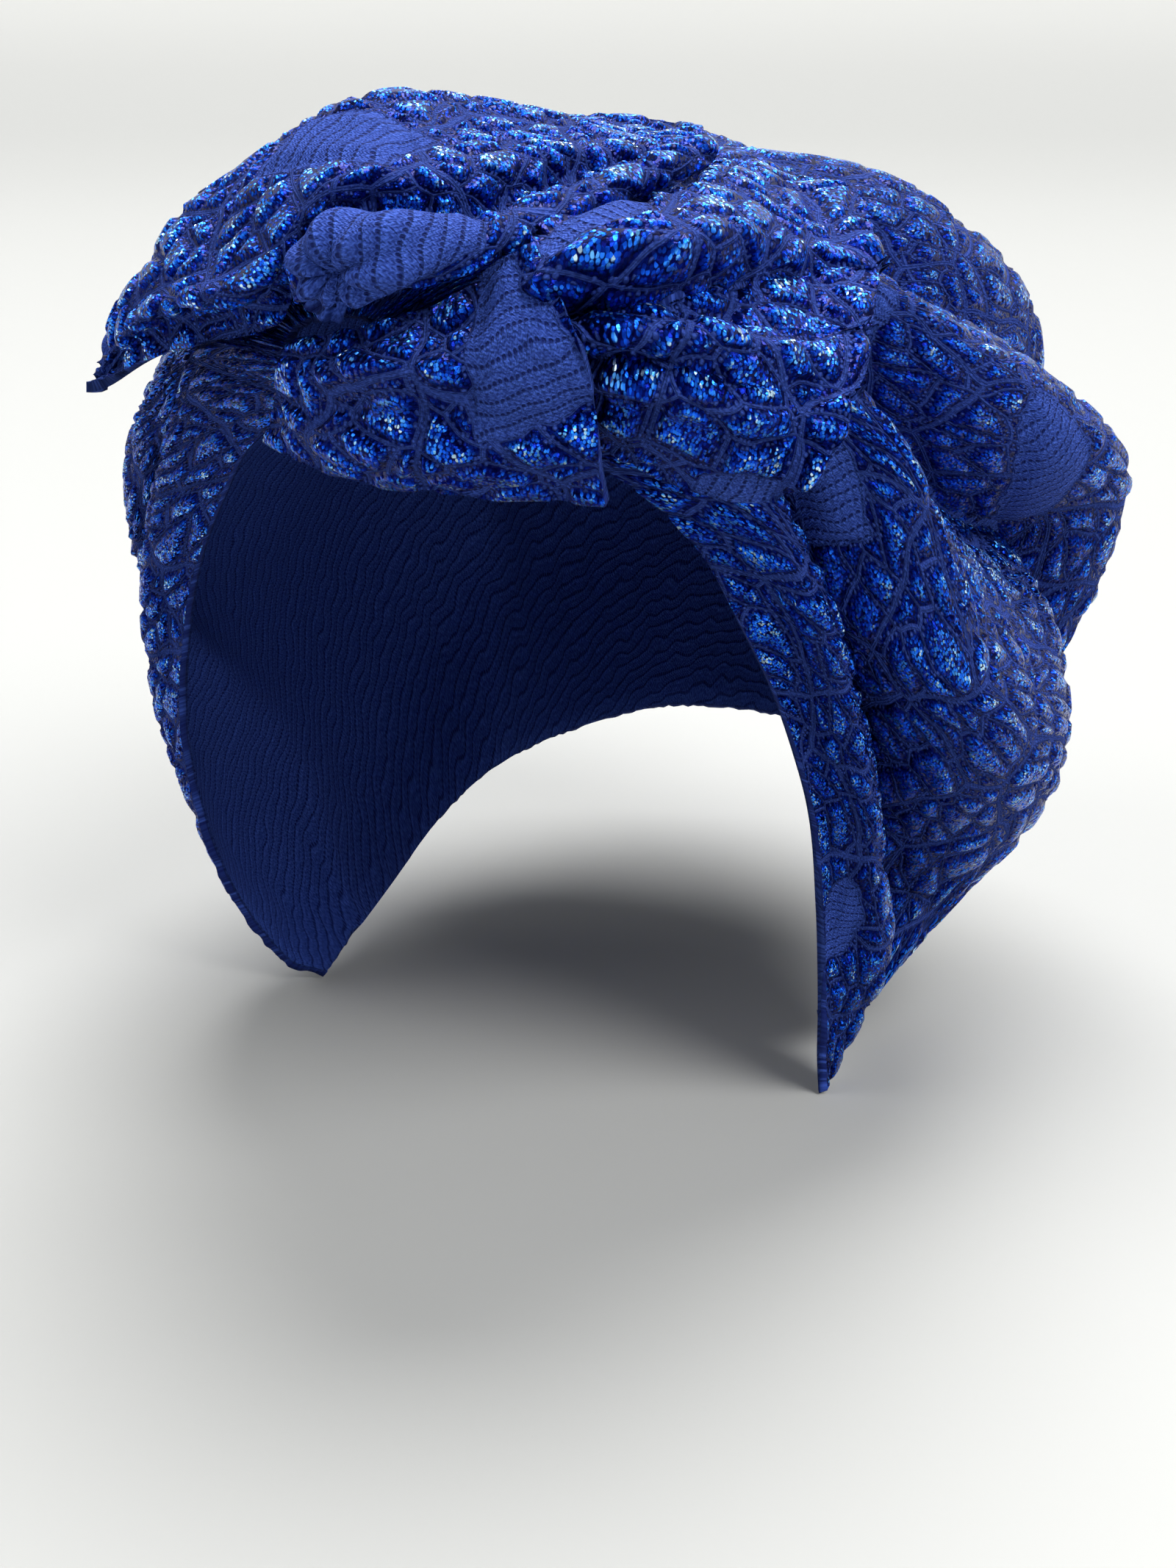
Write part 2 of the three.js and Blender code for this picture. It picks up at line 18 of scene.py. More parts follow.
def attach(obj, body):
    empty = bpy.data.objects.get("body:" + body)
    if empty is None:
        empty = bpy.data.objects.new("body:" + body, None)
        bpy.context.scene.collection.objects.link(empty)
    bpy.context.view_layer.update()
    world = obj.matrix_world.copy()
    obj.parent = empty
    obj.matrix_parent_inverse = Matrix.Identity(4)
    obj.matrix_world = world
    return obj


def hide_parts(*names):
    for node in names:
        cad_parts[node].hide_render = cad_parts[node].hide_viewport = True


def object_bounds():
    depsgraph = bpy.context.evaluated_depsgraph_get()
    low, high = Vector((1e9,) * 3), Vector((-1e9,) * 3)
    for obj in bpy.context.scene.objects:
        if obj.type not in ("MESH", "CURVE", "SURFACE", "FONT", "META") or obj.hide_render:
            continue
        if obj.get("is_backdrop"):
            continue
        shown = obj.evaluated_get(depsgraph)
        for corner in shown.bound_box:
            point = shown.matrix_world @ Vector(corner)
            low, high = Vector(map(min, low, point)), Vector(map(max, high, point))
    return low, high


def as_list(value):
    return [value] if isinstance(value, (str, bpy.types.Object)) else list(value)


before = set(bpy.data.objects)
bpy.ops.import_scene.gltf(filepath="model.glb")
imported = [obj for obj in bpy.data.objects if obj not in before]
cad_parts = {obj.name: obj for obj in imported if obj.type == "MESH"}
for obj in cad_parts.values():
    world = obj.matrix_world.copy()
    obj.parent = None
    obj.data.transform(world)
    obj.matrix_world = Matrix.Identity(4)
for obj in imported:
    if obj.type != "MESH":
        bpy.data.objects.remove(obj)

Array = np.ndarray
Place = tuple[float, float, float]
Colour = tuple[float, float, float, float]

MM = 0.001
CLOTH_MAP = "cloth"
LEAF = "leaf"
RELIEF = "relief"
STEP = 0.002
OUTSIDE, INSIDE = 0, 1
CAP_STRETCH = (1.5, 0.86)
WING_STRETCH = (0.86, 1.06)

log = logging.getLogger("turban")


class Hold(Enum):
    """How a sheet of cloth is held."""

    STRETCHED = "stretched"
    GATHERED = "gathered"
    FOLDED = "folded"


class Slot(Enum):
    """Material slots of the record."""

    GLITTER_KNIT = "glitter_knit"
    MATTE_KNIT = "matte_knit"


# ---- Cloth maths ----


@dataclass(frozen=True)
class Reach:
    """How far the cap reaches from the origin, and the cloth that all pieces share, as in the CAD source."""

    half_width: float = 104
    front: float = 104
    back: float = 160
    crown: float = 56
    ear_drop: float = 160
    wall: float = 2.4
    layer_gap: float = 0.3

    def place(self, share: Place) -> Array:
        """Turns shares (sideways, forward or back, down or up) into millimetres.

        Args:
            share: The three shares.

        Returns:
            The place.
        """
        side, back, up = share
        return np.array([side * self.half_width, self.forward_back(back), self.up_down(up)])

    def forward_back(self, share: float) -> float:
        """Returns the millimetres of a share forward (-) or back (+)."""
        return share * (self.front if share < 0 else self.back)

    def up_down(self, share: float) -> float:
        """Returns the millimetres of a share down (-) or up (+)."""
        return share * (self.ear_drop if share < 0 else self.crown)


REACH = Reach()


def ease(value: Array) -> Array:
    """Returns a smooth rise from 0 to 1 as the value goes from 0 to 1."""
    share = np.clip(value, 0, 1)
    return share * share * (3 - 2 * share)


def unit(vectors: Array) -> Array:
    """Returns the vectors at length 1."""
    return vectors / np.maximum(np.linalg.norm(vectors, axis=-1, keepdims=True), 1e-9)


def weights(stations: Array, at: Array) -> Array:
    """Finds how much each row counts on a smooth curve through rows that stand at the stations.

    Args:
        stations: Where the rows stand, rising.
        at: Where on the curve, of any shape.

    Returns:
        One weight for each station, along a new last axis.
    """
    stations = np.asarray(stations, float)
    at = np.asarray(at, float)
    count = len(stations)
    spans = np.diff(stations)
    slopes = (np.eye(count)[1:] - np.eye(count)[:-1]) / spans[:, None]
    before, after = spans[:-1, None], spans[1:, None]
    middle = (slopes[:-1] * after + slopes[1:] * before) / (before + after)
    tangents = np.vstack([slopes[:1], middle, slopes[-1:]])
    index = np.clip(np.searchsorted(stations, at, side="left") - 1, 0, count - 2)
    span = spans[index]
    f = ((at - stations[index]) / span)[..., None]
    start, end = np.eye(count)[index], np.eye(count)[index + 1]
    leaving = tangents[index] * span[..., None] * (f**3 - 2 * f**2 + f)
    arriving = tangents[index + 1] * span[..., None] * (f**3 - f**2)
    return start * (2 * f**3 - 3 * f**2 + 1) + leaving + end * (3 * f**2 - 2 * f**3) + arriving


def waves(across: Array, along: Array, seed: int) -> Array:
    """Makes smooth random waves, about one each way for a step of 1 in across and along.

    Args:
        across: Place over the cloth.
        along: Place down the cloth, of the same shape.
        seed: Which waves.

    Returns:
        Heights from about -1 to 1.
    """
    count = 64
    lattice = np.random.default_rng(seed).uniform(-1, 1, (count, count))
    column, row = np.floor(across).astype(int), np.floor(along).astype(int)
    right, down = ease(across - column), ease(along - row)
    def corner(i: int, j: int) -> Array:
        """Returns the lattice heights at one corner of each square."""
        return lattice[(column + i) % count, (row + j) % count]
    top = corner(0, 0) * (1 - right) + corner(1, 0) * right
    bottom = corner(0, 1) * (1 - right) + corner(1, 1) * right
    return top * (1 - down) + bottom * down


Face = Callable[[Array, Array], Array]


def even_stations(points: Array, count: int) -> Array:
    """Spreads stations along the first axis of a grid of points so that its lines lie evenly spaced.

    Args:
        points: Grid of points, shape (columns, rows, 3).
        count: How many stations.

    Returns:
        Stations from 0 to 1.
    """
    length = np.linalg.norm(np.diff(points, axis=0), axis=-1).mean(axis=1)
    total = np.concatenate([[0], np.cumsum(length)])
    return np.interp(np.linspace(0, total[-1], count), total, np.linspace(0, 1, len(points)))


def normals(points: Array) -> Array:
    """Returns the way out at each point of a grid: the row direction crossed with the column direction."""
    return unit(np.cross(np.gradient(points, axis=1), np.gradient(points, axis=0)))


def smoothed(points: Array, times: int) -> Array:
    """Returns a grid of points blurred a number of times, its edges held.

    Args:
        points: Grid of points, shape (columns, rows, 3).
        times: How often each point moves to the middle of its neighbours.

    Returns:
        The blurred grid.
    """
    result = points.copy()
    for _ in range(times):
        middle = result[2:, 1:-1] + result[:-2, 1:-1] + result[1:-1, 2:] + result[1:-1, :-2]
        result[1:-1, 1:-1] = result[1:-1, 1:-1] * 0.5 + middle * 0.125
    return result


def flattened(points: Array, rounds: int = 24) -> Array:
    """Lays a grid of points out flat as stiffly as cloth allows, so that a pattern on it keeps its size.

    Args:
        points: Grid of points, shape (columns, rows, 3).
        rounds: How often the triangles are turned and joined again.

    Returns:
        Flat places in the unit of the points, shape (columns, rows, 2).
    """
    columns, rows, _ = points.shape
    index = np.arange(columns * rows).reshape(columns, rows)
    a, b = index[:-1, :-1].ravel(), index[:-1, 1:].ravel()
    c, d = index[1:, 1:].ravel(), index[1:, :-1].ravel()
    triangles = np.concatenate([np.stack([a, b, c], 1), np.stack([a, c, d], 1)])
    corners = points.reshape(-1, 3)[triangles]
    first, second = corners[:, 1] - corners[:, 0], corners[:, 2] - corners[:, 0]
    length = np.maximum(np.linalg.norm(first, axis=1), 1e-6)
    x = (first * second).sum(1) / length
    y = np.maximum(np.linalg.norm(np.cross(first, second), axis=1) / length, 1e-6)
    zero = np.zeros_like(x)
    local = np.stack([np.stack([zero, zero], 1), np.stack([length, zero], 1), np.stack([x, y], 1)], 1)
    count = columns * rows
    matrix = np.zeros((count, count))
    edges = []
    for k in range(3):
        i, j, far = (k + 1) % 3, (k + 2) % 3, k
        to_i, to_j = local[:, i] - local[:, far], local[:, j] - local[:, far]
        cross = np.abs(to_i[:, 0] * to_j[:, 1] - to_i[:, 1] * to_j[:, 0])
        stiff = np.clip((to_i * to_j).sum(1) / np.maximum(cross, 1e-6), 0.05, 20)
        start, end = triangles[:, i], triangles[:, j]
        edges.append((start, end, stiff, local[:, i] - local[:, j]))
        np.add.at(matrix, (start, end), -stiff)
        np.add.at(matrix, (end, start), -stiff)
        np.add.at(matrix, (start, start), stiff)
        np.add.at(matrix, (end, end), stiff)
    solve = np.linalg.inv(matrix + np.eye(count) * 1e-6)
    side = np.linalg.norm(np.diff(points, axis=0, prepend=points[:1]), axis=-1).cumsum(axis=0)
    down = np.linalg.norm(np.diff(points, axis=1, prepend=points[:, :1]), axis=-1).cumsum(axis=1)
    flat = np.stack([down, side - side[columns // 2]], -1).reshape(-1, 2)
    for _ in range(rounds):
        dot, cross = np.zeros(len(triangles)), np.zeros(len(triangles))
        for start, end, stiff, edge in edges:
            now = flat[start] - flat[end]
            dot += stiff * (edge * now).sum(1)
            cross += stiff * (edge[:, 0] * now[:, 1] - edge[:, 1] * now[:, 0])
        size = np.maximum(np.hypot(dot, cross), 1e-9)
        cos, sin = dot / size, cross / size
        force = np.zeros((count, 2))
        for start, end, stiff, edge in edges:
            turned = np.stack([cos * edge[:, 0] - sin * edge[:, 1], sin * edge[:, 0] + cos * edge[:, 1]], 1)
            np.add.at(force, start, stiff[:, None] * turned)
            np.add.at(force, end, -stiff[:, None] * turned)
        flat = solve @ force
    return flat.reshape(columns, rows, 2)


@dataclass
class Layer:
    """Spots on a face, and the way out at each, that the next layer of cloth lies on."""

    spots: Array
    out: Array

    @classmethod
    def of(cls, face: Face, columns: int = 96, rows: int = 60) -> "Layer":
        """Samples a face.

        Args:
            face: Gives places for shares across and along.
            columns: Samples across.
            rows: Samples along.

        Returns:
            The layer.
        """
        across, along = np.meshgrid(np.linspace(0, 1, columns + 1), np.linspace(0, 1, rows + 1), indexing="ij")
        points = face(across, along)
        onward = points[1:-1, 2:] - points[1:-1, :-2]
        sideways = points[2:, 1:-1] - points[:-2, 1:-1]
        return cls(points[1:-1, 1:-1].reshape(-1, 3), unit(np.cross(onward, sideways)).reshape(-1, 3))


@dataclass(frozen=True)
class Touch:
    """How a layer of cloth lies on those below, as in the CAD source."""

    reach: float = 18
    spread: float = 7
    least: float = 0.02
    sag: float = 0.3
    batch: int = 1500

    def laid_on(self, points: Array, layers: list[Layer]) -> Array:
        """Moves points out until the wall and the air under it fit over the layers below.

        Args:
            points: Places of the upper layer's outer face, of any shape.
            layers: The layers below.

        Returns:
            The moved places.
        """
        needed = REACH.wall + REACH.layer_gap + self.sag
        flat = points.reshape(-1, 3).copy()
        for layer in layers:
            for start in range(0, len(flat), self.batch):
                part = flat[start : start + self.batch]
                gap = part[:, None, :] - layer.spots[None, :, :]
                distance = np.linalg.norm(gap, axis=-1)
                weight = np.where(distance > self.reach, 0, np.exp(-((distance / self.spread) ** 2)))
                total = weight.sum(axis=1)
                height = (weight * (gap * layer.out[None]).sum(-1)).sum(1) / np.maximum(total, 1e-9)
                lift = np.where(total < self.least, 0, np.maximum(needed - height, 0))
                part += unit(weight @ layer.out) * lift[:, None]
        return flat.reshape(points.shape)


TOUCH = Touch()


@dataclass(frozen=True)
class MatteLeaf:
    """A plain matte patch in the glitter knit: a strip on the cloth that may widen on its way.

    Args:
        start: Place (across, along) of its first end.
        end: Place (across, along) of its other end.
        widths: Half width in millimetres at its start, middle and end.
    """

    start: tuple[float, float]
    end: tuple[float, float]
    widths: tuple[float, float, float]


def leaf_coordinates(flat: Array, stations: tuple[Array, Array], leaves: list[MatteLeaf]) -> Array:
    """Finds where each point of a flat cloth lies in its nearest matte leaf.

    Args:
        flat: Flat places of the grid, shape (columns, rows, 2).
        stations: Shares across of the columns and along of the rows.
        leaves: The leaves on this cloth.

    Returns:
        Millimetres along the leaf, across it, and in from its edge (negative outside it).
    """
    far = -40.0
    result = np.zeros(flat.shape[:2] + (3,))
    result[..., 2] = far
    columns, rows = stations
    def spot(place: tuple[float, float]) -> Array:
        """Returns the flat place of a share across and along."""
        i, j = np.abs(columns - place[0]).argmin(), np.abs(rows - place[1]).argmin()
        return flat[i, j]
    for leaf in leaves:
        start, end = spot(leaf.start), spot(leaf.end)
        length = float(np.linalg.norm(end - start))
        way = (end - start) / length
        along = (flat - start) @ way
        across = (flat - start) @ np.array([-way[1], way[0]])
        half = np.interp(along / length, [0, 0.5, 1], leaf.widths)
        inside = np.minimum(np.minimum(half - np.abs(across), along), length - along)
        nearer = inside > result[..., 2]
        result[nearer] = np.stack([along, across, inside], -1)[nearer]
    return result


# ---- Node trees ----

Socket = bpy.types.NodeSocket
Value = Socket | float


class Wiring:
    """Adds nodes to one tree, in the same words for a shader and for geometry."""

    def __init__(self, tree: bpy.types.NodeTree) -> None:
        """Takes the tree to add to."""
        self.tree = tree

    def node(self, kind: str, **settings: object) -> bpy.types.Node:
        """Adds a node.

        Args:
            kind: Its type name.
            settings: Values of its settings.

        Returns:
            The node.
        """
        made = self.tree.nodes.new(kind)
        for name, value in settings.items():
            setattr(made, name, value)
        return made

    def feed(self, target: Socket, value: object) -> None:
        """Links a socket to a target, or sets the target to a plain value."""
        if isinstance(value, bpy.types.NodeSocket):
            self.tree.links.new(value, target)
        else:
            target.default_value = value

    def sum(self, operation: str, *values: Value, clamp: bool = False) -> Socket:
        """Adds a Math node.

        Args:
            operation: Its operation.
            values: Its inputs.
            clamp: Whether it keeps to 0 to 1.

        Returns:
            Its result.
        """
        made = self.node("ShaderNodeMath", operation=operation, use_clamp=clamp)
        for target, value in zip(made.inputs, values):
            self.feed(target, value)
        return made.outputs[0]

    def vector(self, operation: str, *values: object, scale: Value | None = None) -> Socket:
        """Adds a Vector Math node.

        Args:
            operation: Its operation.
            values: Its vector inputs.
            scale: Its scale, if it has one.

        Returns:
            Its vector, or its value for a dot product or length.
        """
        made = self.node("ShaderNodeVectorMath", operation=operation)
        for target, value in zip(made.inputs, values):
            self.feed(target, value)
        if scale is not None:
            self.feed(made.inputs["Scale"], scale)
        return made.outputs["Value" if operation in ("DOT_PRODUCT", "LENGTH", "DISTANCE") else "Vector"]

    def split(self, vector: Socket) -> tuple[Socket, Socket, Socket]:
        """Returns a vector's three parts."""
        made = self.node("ShaderNodeSeparateXYZ")
        self.feed(made.inputs[0], vector)
        return made.outputs[0], made.outputs[1], made.outputs[2]

    def join(self, x: Value, y: Value, z: Value) -> Socket:
        """Returns a vector made of three parts."""
        made = self.node("ShaderNodeCombineXYZ")
        for target, value in zip(made.inputs, (x, y, z)):
            self.feed(target, value)
        return made.outputs[0]

    def rise(self, value: Value, low: float, high: float, bottom: float = 0, top: float = 1) -> Socket:
        """Adds a smooth step.

        Args:
            value: What is read.
            low: Where the step starts.
            high: Where it ends.
            bottom: The result up to low.
            top: The result from high on.

        Returns:
            The step's result.
        """
        made = self.node("ShaderNodeMapRange", interpolation_type="SMOOTHSTEP")
        for target, given in zip(made.inputs, (value, low, high, bottom, top)):
            self.feed(target, given)
        return made.outputs[0]

    def blend(self, share: Value, low: Value, high: Value) -> Socket:
        """Returns low at share 0 and high at share 1."""
        made = self.node("ShaderNodeMix", data_type="FLOAT")
        for target, value in zip((made.inputs[0], made.inputs[2], made.inputs[3]), (share, low, high)):
            self.feed(target, value)
        return made.outputs[0]

    def blend_colour(self, share: Value, low: object, high: object) -> Socket:
        """Returns the low colour at share 0 and the high one at share 1."""
        made = self.node("ShaderNodeMix", data_type="RGBA")
        for target, value in zip((made.inputs[0], made.inputs[6], made.inputs[7]), (share, low, high)):
            self.feed(target, value)
        return made.outputs[2]

    def ramp(self, value: Value, stops: tuple[tuple[float, Colour], ...]) -> Socket:
        """Adds a colour ramp.

        Args:
            value: What is read.
            stops: Positions and colours, rising.

        Returns:
            The colour.
        """
        made = self.node("ShaderNodeValToRGB")
        elements = made.color_ramp.elements
        while len(elements) < len(stops):
            elements.new(0.5)
        for element, (position, colour) in zip(elements, stops):
            element.position = position
            element.color = colour
        self.feed(made.inputs[0], value)
        return made.outputs[0]

    def noise(self, vector: Socket, scale: float, detail: float = 1) -> bpy.types.Node:
        """Adds a Noise Texture in two dimensions.

        Args:
            vector: Where it is read.
            scale: Its scale.
            detail: Its detail.

        Returns:
            The node, whose outputs are its value and its colour.
        """
        made = self.node("ShaderNodeTexNoise", noise_dimensions="2D")
        for name, value in (("Vector", vector), ("Scale", scale), ("Detail", detail)):
            self.feed(made.inputs[name], value)
        return made

    def voronoi(self, vector: Socket, feature: str, randomness: float = 1) -> bpy.types.Node:
        """Adds a Voronoi Texture in two dimensions, with cells about 1 wide.

        Args:
            vector: Where it is read.
            feature: Which feature.
            randomness: How far the cells stray from a grid.

        Returns:
            The node.
        """
        made = self.node("ShaderNodeTexVoronoi", voronoi_dimensions="2D", feature=feature)
        for name, value in (("Vector", vector), ("Scale", 1.0), ("Randomness", randomness)):
            self.feed(made.inputs[name], value)
        return made


@dataclass
class CellSockets:
    """What the cell pattern says at a place: heights and masks from 0 to 1."""

    pillow: Socket
    cord: Socket
    near: Socket
    leaf: Socket


@dataclass(frozen=True)
class CellPattern:
    """The net of matte cords over the knit, in millimetres on the flat cloth."""

    cell: tuple[float, float] = (7.6, 14.0)
    vein: tuple[float, float] = (30.0, 26.0)
    sway: float = 5.0
    sway_length: float = 24.0
    cord_half: float = 0.42
    vein_half: float = 0.78
    groove: float = 0.4
    shoulder: float = 2.5
    leaf_fray: float = 3.5
    leaf_fray_length: float = 7.0

    def draw(self, wiring: Wiring, place: Socket, leaf: Socket) -> CellSockets:
        """Adds the pattern's nodes.

        Args:
            wiring: The tree.
            place: Millimetres on the flat cloth.
            leaf: Millimetres along, across and in from the edge of the nearest matte leaf.

        Returns:
            The pattern's sockets.
        """
        drift = wiring.noise(place, 1 / self.sway_length, 1.5).outputs["Color"]
        drift = wiring.vector("SCALE", wiring.vector("SUBTRACT", drift, (0.5, 0.5, 0.5)), scale=2 * self.sway)
        swayed = wiring.vector("ADD", place, drift)
        fine = wiring.vector("DIVIDE", swayed, (*self.cell, 1.0))
        coarse = wiring.vector("DIVIDE", swayed, (*self.vein, 1.0))
        fine_size = math.sqrt(self.cell[0] * self.cell[1])
        vein_size = math.sqrt(self.vein[0] * self.vein[1])
        to_cord = wiring.voronoi(fine, "DISTANCE_TO_EDGE", 0.85).outputs["Distance"]
        to_cord = wiring.sum("MULTIPLY", to_cord, fine_size)
        to_vein = wiring.voronoi(coarse, "DISTANCE_TO_EDGE", 0.9).outputs["Distance"]
        to_vein = wiring.sum("MULTIPLY", to_vein, vein_size)
        fray = wiring.sum("SUBTRACT", wiring.noise(place, 1 / self.leaf_fray_length, 1).outputs[0], 0.5)
        inside = wiring.sum("ADD", wiring.split(leaf)[2], wiring.sum("MULTIPLY", fray, self.leaf_fray))
        matte = wiring.rise(inside, -0.3, 0.3)
        bare = wiring.sum("SUBTRACT", 1.0, matte)
        wider = wiring.sum("SUBTRACT", to_vein, self.vein_half - self.cord_half)
        near = wiring.sum("MINIMUM", to_cord, wider)
        near = wiring.sum("MINIMUM", near, wiring.sum("ABSOLUTE", inside))
        round_cord = self.rounded(wiring, to_cord, self.cord_half)
        round_vein = self.rounded(wiring, to_vein, self.vein_half)
        rim = self.rounded(wiring, inside, self.cord_half)
        cord = wiring.sum("MAXIMUM", wiring.sum("MULTIPLY", round_cord, 0.8), round_vein)
        cord = wiring.sum("MAXIMUM", wiring.sum("MULTIPLY", cord, bare), wiring.sum("MULTIPLY", rim, 0.7))
        pillow = wiring.rise(near, self.groove, self.shoulder)
        pillow = wiring.sum("MULTIPLY", pillow, bare)
        return CellSockets(pillow, cord, near, matte)

    def rounded(self, wiring: Wiring, distance: Socket, half: float) -> Socket:
        """Returns the round profile of a cord: 1 on its middle line, 0 from its half width on."""
        share = wiring.sum("DIVIDE", distance, half)
        square = wiring.sum("SUBTRACT", 1.0, wiring.sum("MULTIPLY", share, share), clamp=True)
        return wiring.sum("SQRT", square)


def group_socket(tree: bpy.types.NodeTree, name: str, kind: str, way: str, value: object = None) -> None:
    """Adds a named socket to a node group.

    Args:
        tree: The group.
        name: The socket's name.
        kind: Float, Vector, Color, Geometry or Material.
        way: INPUT or OUTPUT.
        value: The default value, if it has one.
    """
    made = tree.interface.new_socket(name=name, in_out=way, socket_type=f"NodeSocket{kind}")
    if value is not None:
        made.default_value = value


@dataclass(frozen=True)
class Relief:
    """Geometry Nodes that puff the cells of the knit out of a smooth sheet."""

    pattern: CellPattern
    puff: float = 1.3
    sunk: float = 0.85
    leaf_puff: float = 1.1
    leaf_shoulder: float = 5.0

    def tree(self) -> bpy.types.NodeTree:
        """Builds the tree.

        Returns:
            A Geometry Nodes tree with the puff in metres and both materials as inputs.
        """
        tree = bpy.data.node_groups.new("cell relief", "GeometryNodeTree")
        group_socket(tree, "Geometry", "Geometry", "INPUT")
        group_socket(tree, "Puff", "Float", "INPUT", self.puff * MM)
        group_socket(tree, "Outside", "Material", "INPUT")
        group_socket(tree, "Inside", "Material", "INPUT")
        group_socket(tree, "Geometry", "Geometry", "OUTPUT")
        wiring = Wiring(tree)
        given = wiring.node("NodeGroupInput")
        result = wiring.node("NodeGroupOutput")
        cloth = self.attribute(wiring, CLOTH_MAP, "FLOAT_VECTOR")
        place = wiring.vector("SCALE", cloth, scale=1 / MM)
        leaf = self.attribute(wiring, LEAF, "FLOAT_VECTOR")
        share = self.attribute(wiring, RELIEF, "FLOAT")
        cells = self.pattern.draw(wiring, place, leaf)
        soft = wiring.rise(wiring.split(leaf)[2], 0.0, self.leaf_shoulder, 0.0, self.leaf_puff)
        height = wiring.sum("ADD", wiring.sum("SUBTRACT", cells.pillow, self.sunk / self.puff), soft)
        height = wiring.sum("MULTIPLY", wiring.sum("MULTIPLY", height, given.outputs["Puff"]), share)
        offset = wiring.vector("SCALE", wiring.node("GeometryNodeInputNormal").outputs[0], scale=height)
        moved = wiring.node("GeometryNodeSetPosition")
        wiring.feed(moved.inputs["Geometry"], given.outputs["Geometry"])
        wiring.feed(moved.inputs["Offset"], offset)
        real = wiring.node("GeometryNodeRealizeInstances")
        wiring.feed(real.inputs[0], moved.outputs[0])
        last = real.outputs[0]
        index = wiring.node("GeometryNodeInputMaterialIndex").outputs[0]
        for side, name in ((OUTSIDE, "Outside"), (INSIDE, "Inside")):
            same = wiring.node("FunctionNodeCompare", data_type="INT", operation="EQUAL")
            wiring.feed(same.inputs[2], index)
            wiring.feed(same.inputs[3], side)
            dressed = wiring.node("GeometryNodeSetMaterial")
            wiring.feed(dressed.inputs["Geometry"], last)
            wiring.feed(dressed.inputs["Selection"], same.outputs[0])
            wiring.feed(dressed.inputs["Material"], given.outputs[name])
            last = dressed.outputs[0]
        wiring.feed(result.inputs[0], last)
        return tree

    def attribute(self, wiring: Wiring, name: str, kind: str) -> Socket:
        """Returns the value of a named attribute of the mesh."""
        made = wiring.node("GeometryNodeInputNamedAttribute", data_type=kind)
        made.inputs["Name"].default_value = name
        return made.outputs["Attribute"]


def apply_nodes(piece: bpy.types.Object, tree: bpy.types.NodeTree, values: dict[str, object]) -> None:
    """Runs a Geometry Nodes tree on a piece and keeps its result as the piece's plain mesh.

    Args:
        piece: The piece.
        tree: The tree.
        values: The tree's inputs by name.
    """
    modifier = piece.modifiers.new(tree.name, "NODES")
    modifier.node_group = tree
    for item in tree.interface.items_tree:
        if item.in_out == "INPUT" and item.name in values:
            modifier[item.identifier] = values[item.name]
    graph = bpy.context.evaluated_depsgraph_get()
    result = bpy.data.meshes.new_from_object(piece.evaluated_get(graph), depsgraph=graph)
    piece.modifiers.remove(modifier)
    before = piece.data
    piece.data = result
    bpy.data.meshes.remove(before)
    result.name = piece.name


# ---- Finishes ----


@dataclass(frozen=True)
class YarnColours:
    """Colours of the matte yarn, from its shaded side to its lit side."""

    deep: Colour = (0.018, 0.042, 0.230, 1)
    shade: Colour = (0.001, 0.003, 0.06, 1)
    lit: Colour = (0.052, 0.115, 0.520, 1)


@dataclass(frozen=True)
class GlitterColours:
    """Colours of the glitter flakes, from those that face away to those that flash."""

    stops: tuple[tuple[float, Colour], ...] = (
        (0.0, (0.001, 0.003, 0.08, 1)),
        (0.3, (0.002, 0.022, 0.30, 1)),
        (0.55, (0.006, 0.095, 0.78, 1)),
        (0.8, (0.030, 0.260, 1.0, 1)),
        (0.95, (0.160, 0.520, 1.0, 1)),
        (1.0, (0.620, 0.850, 1.0, 1)),
    )


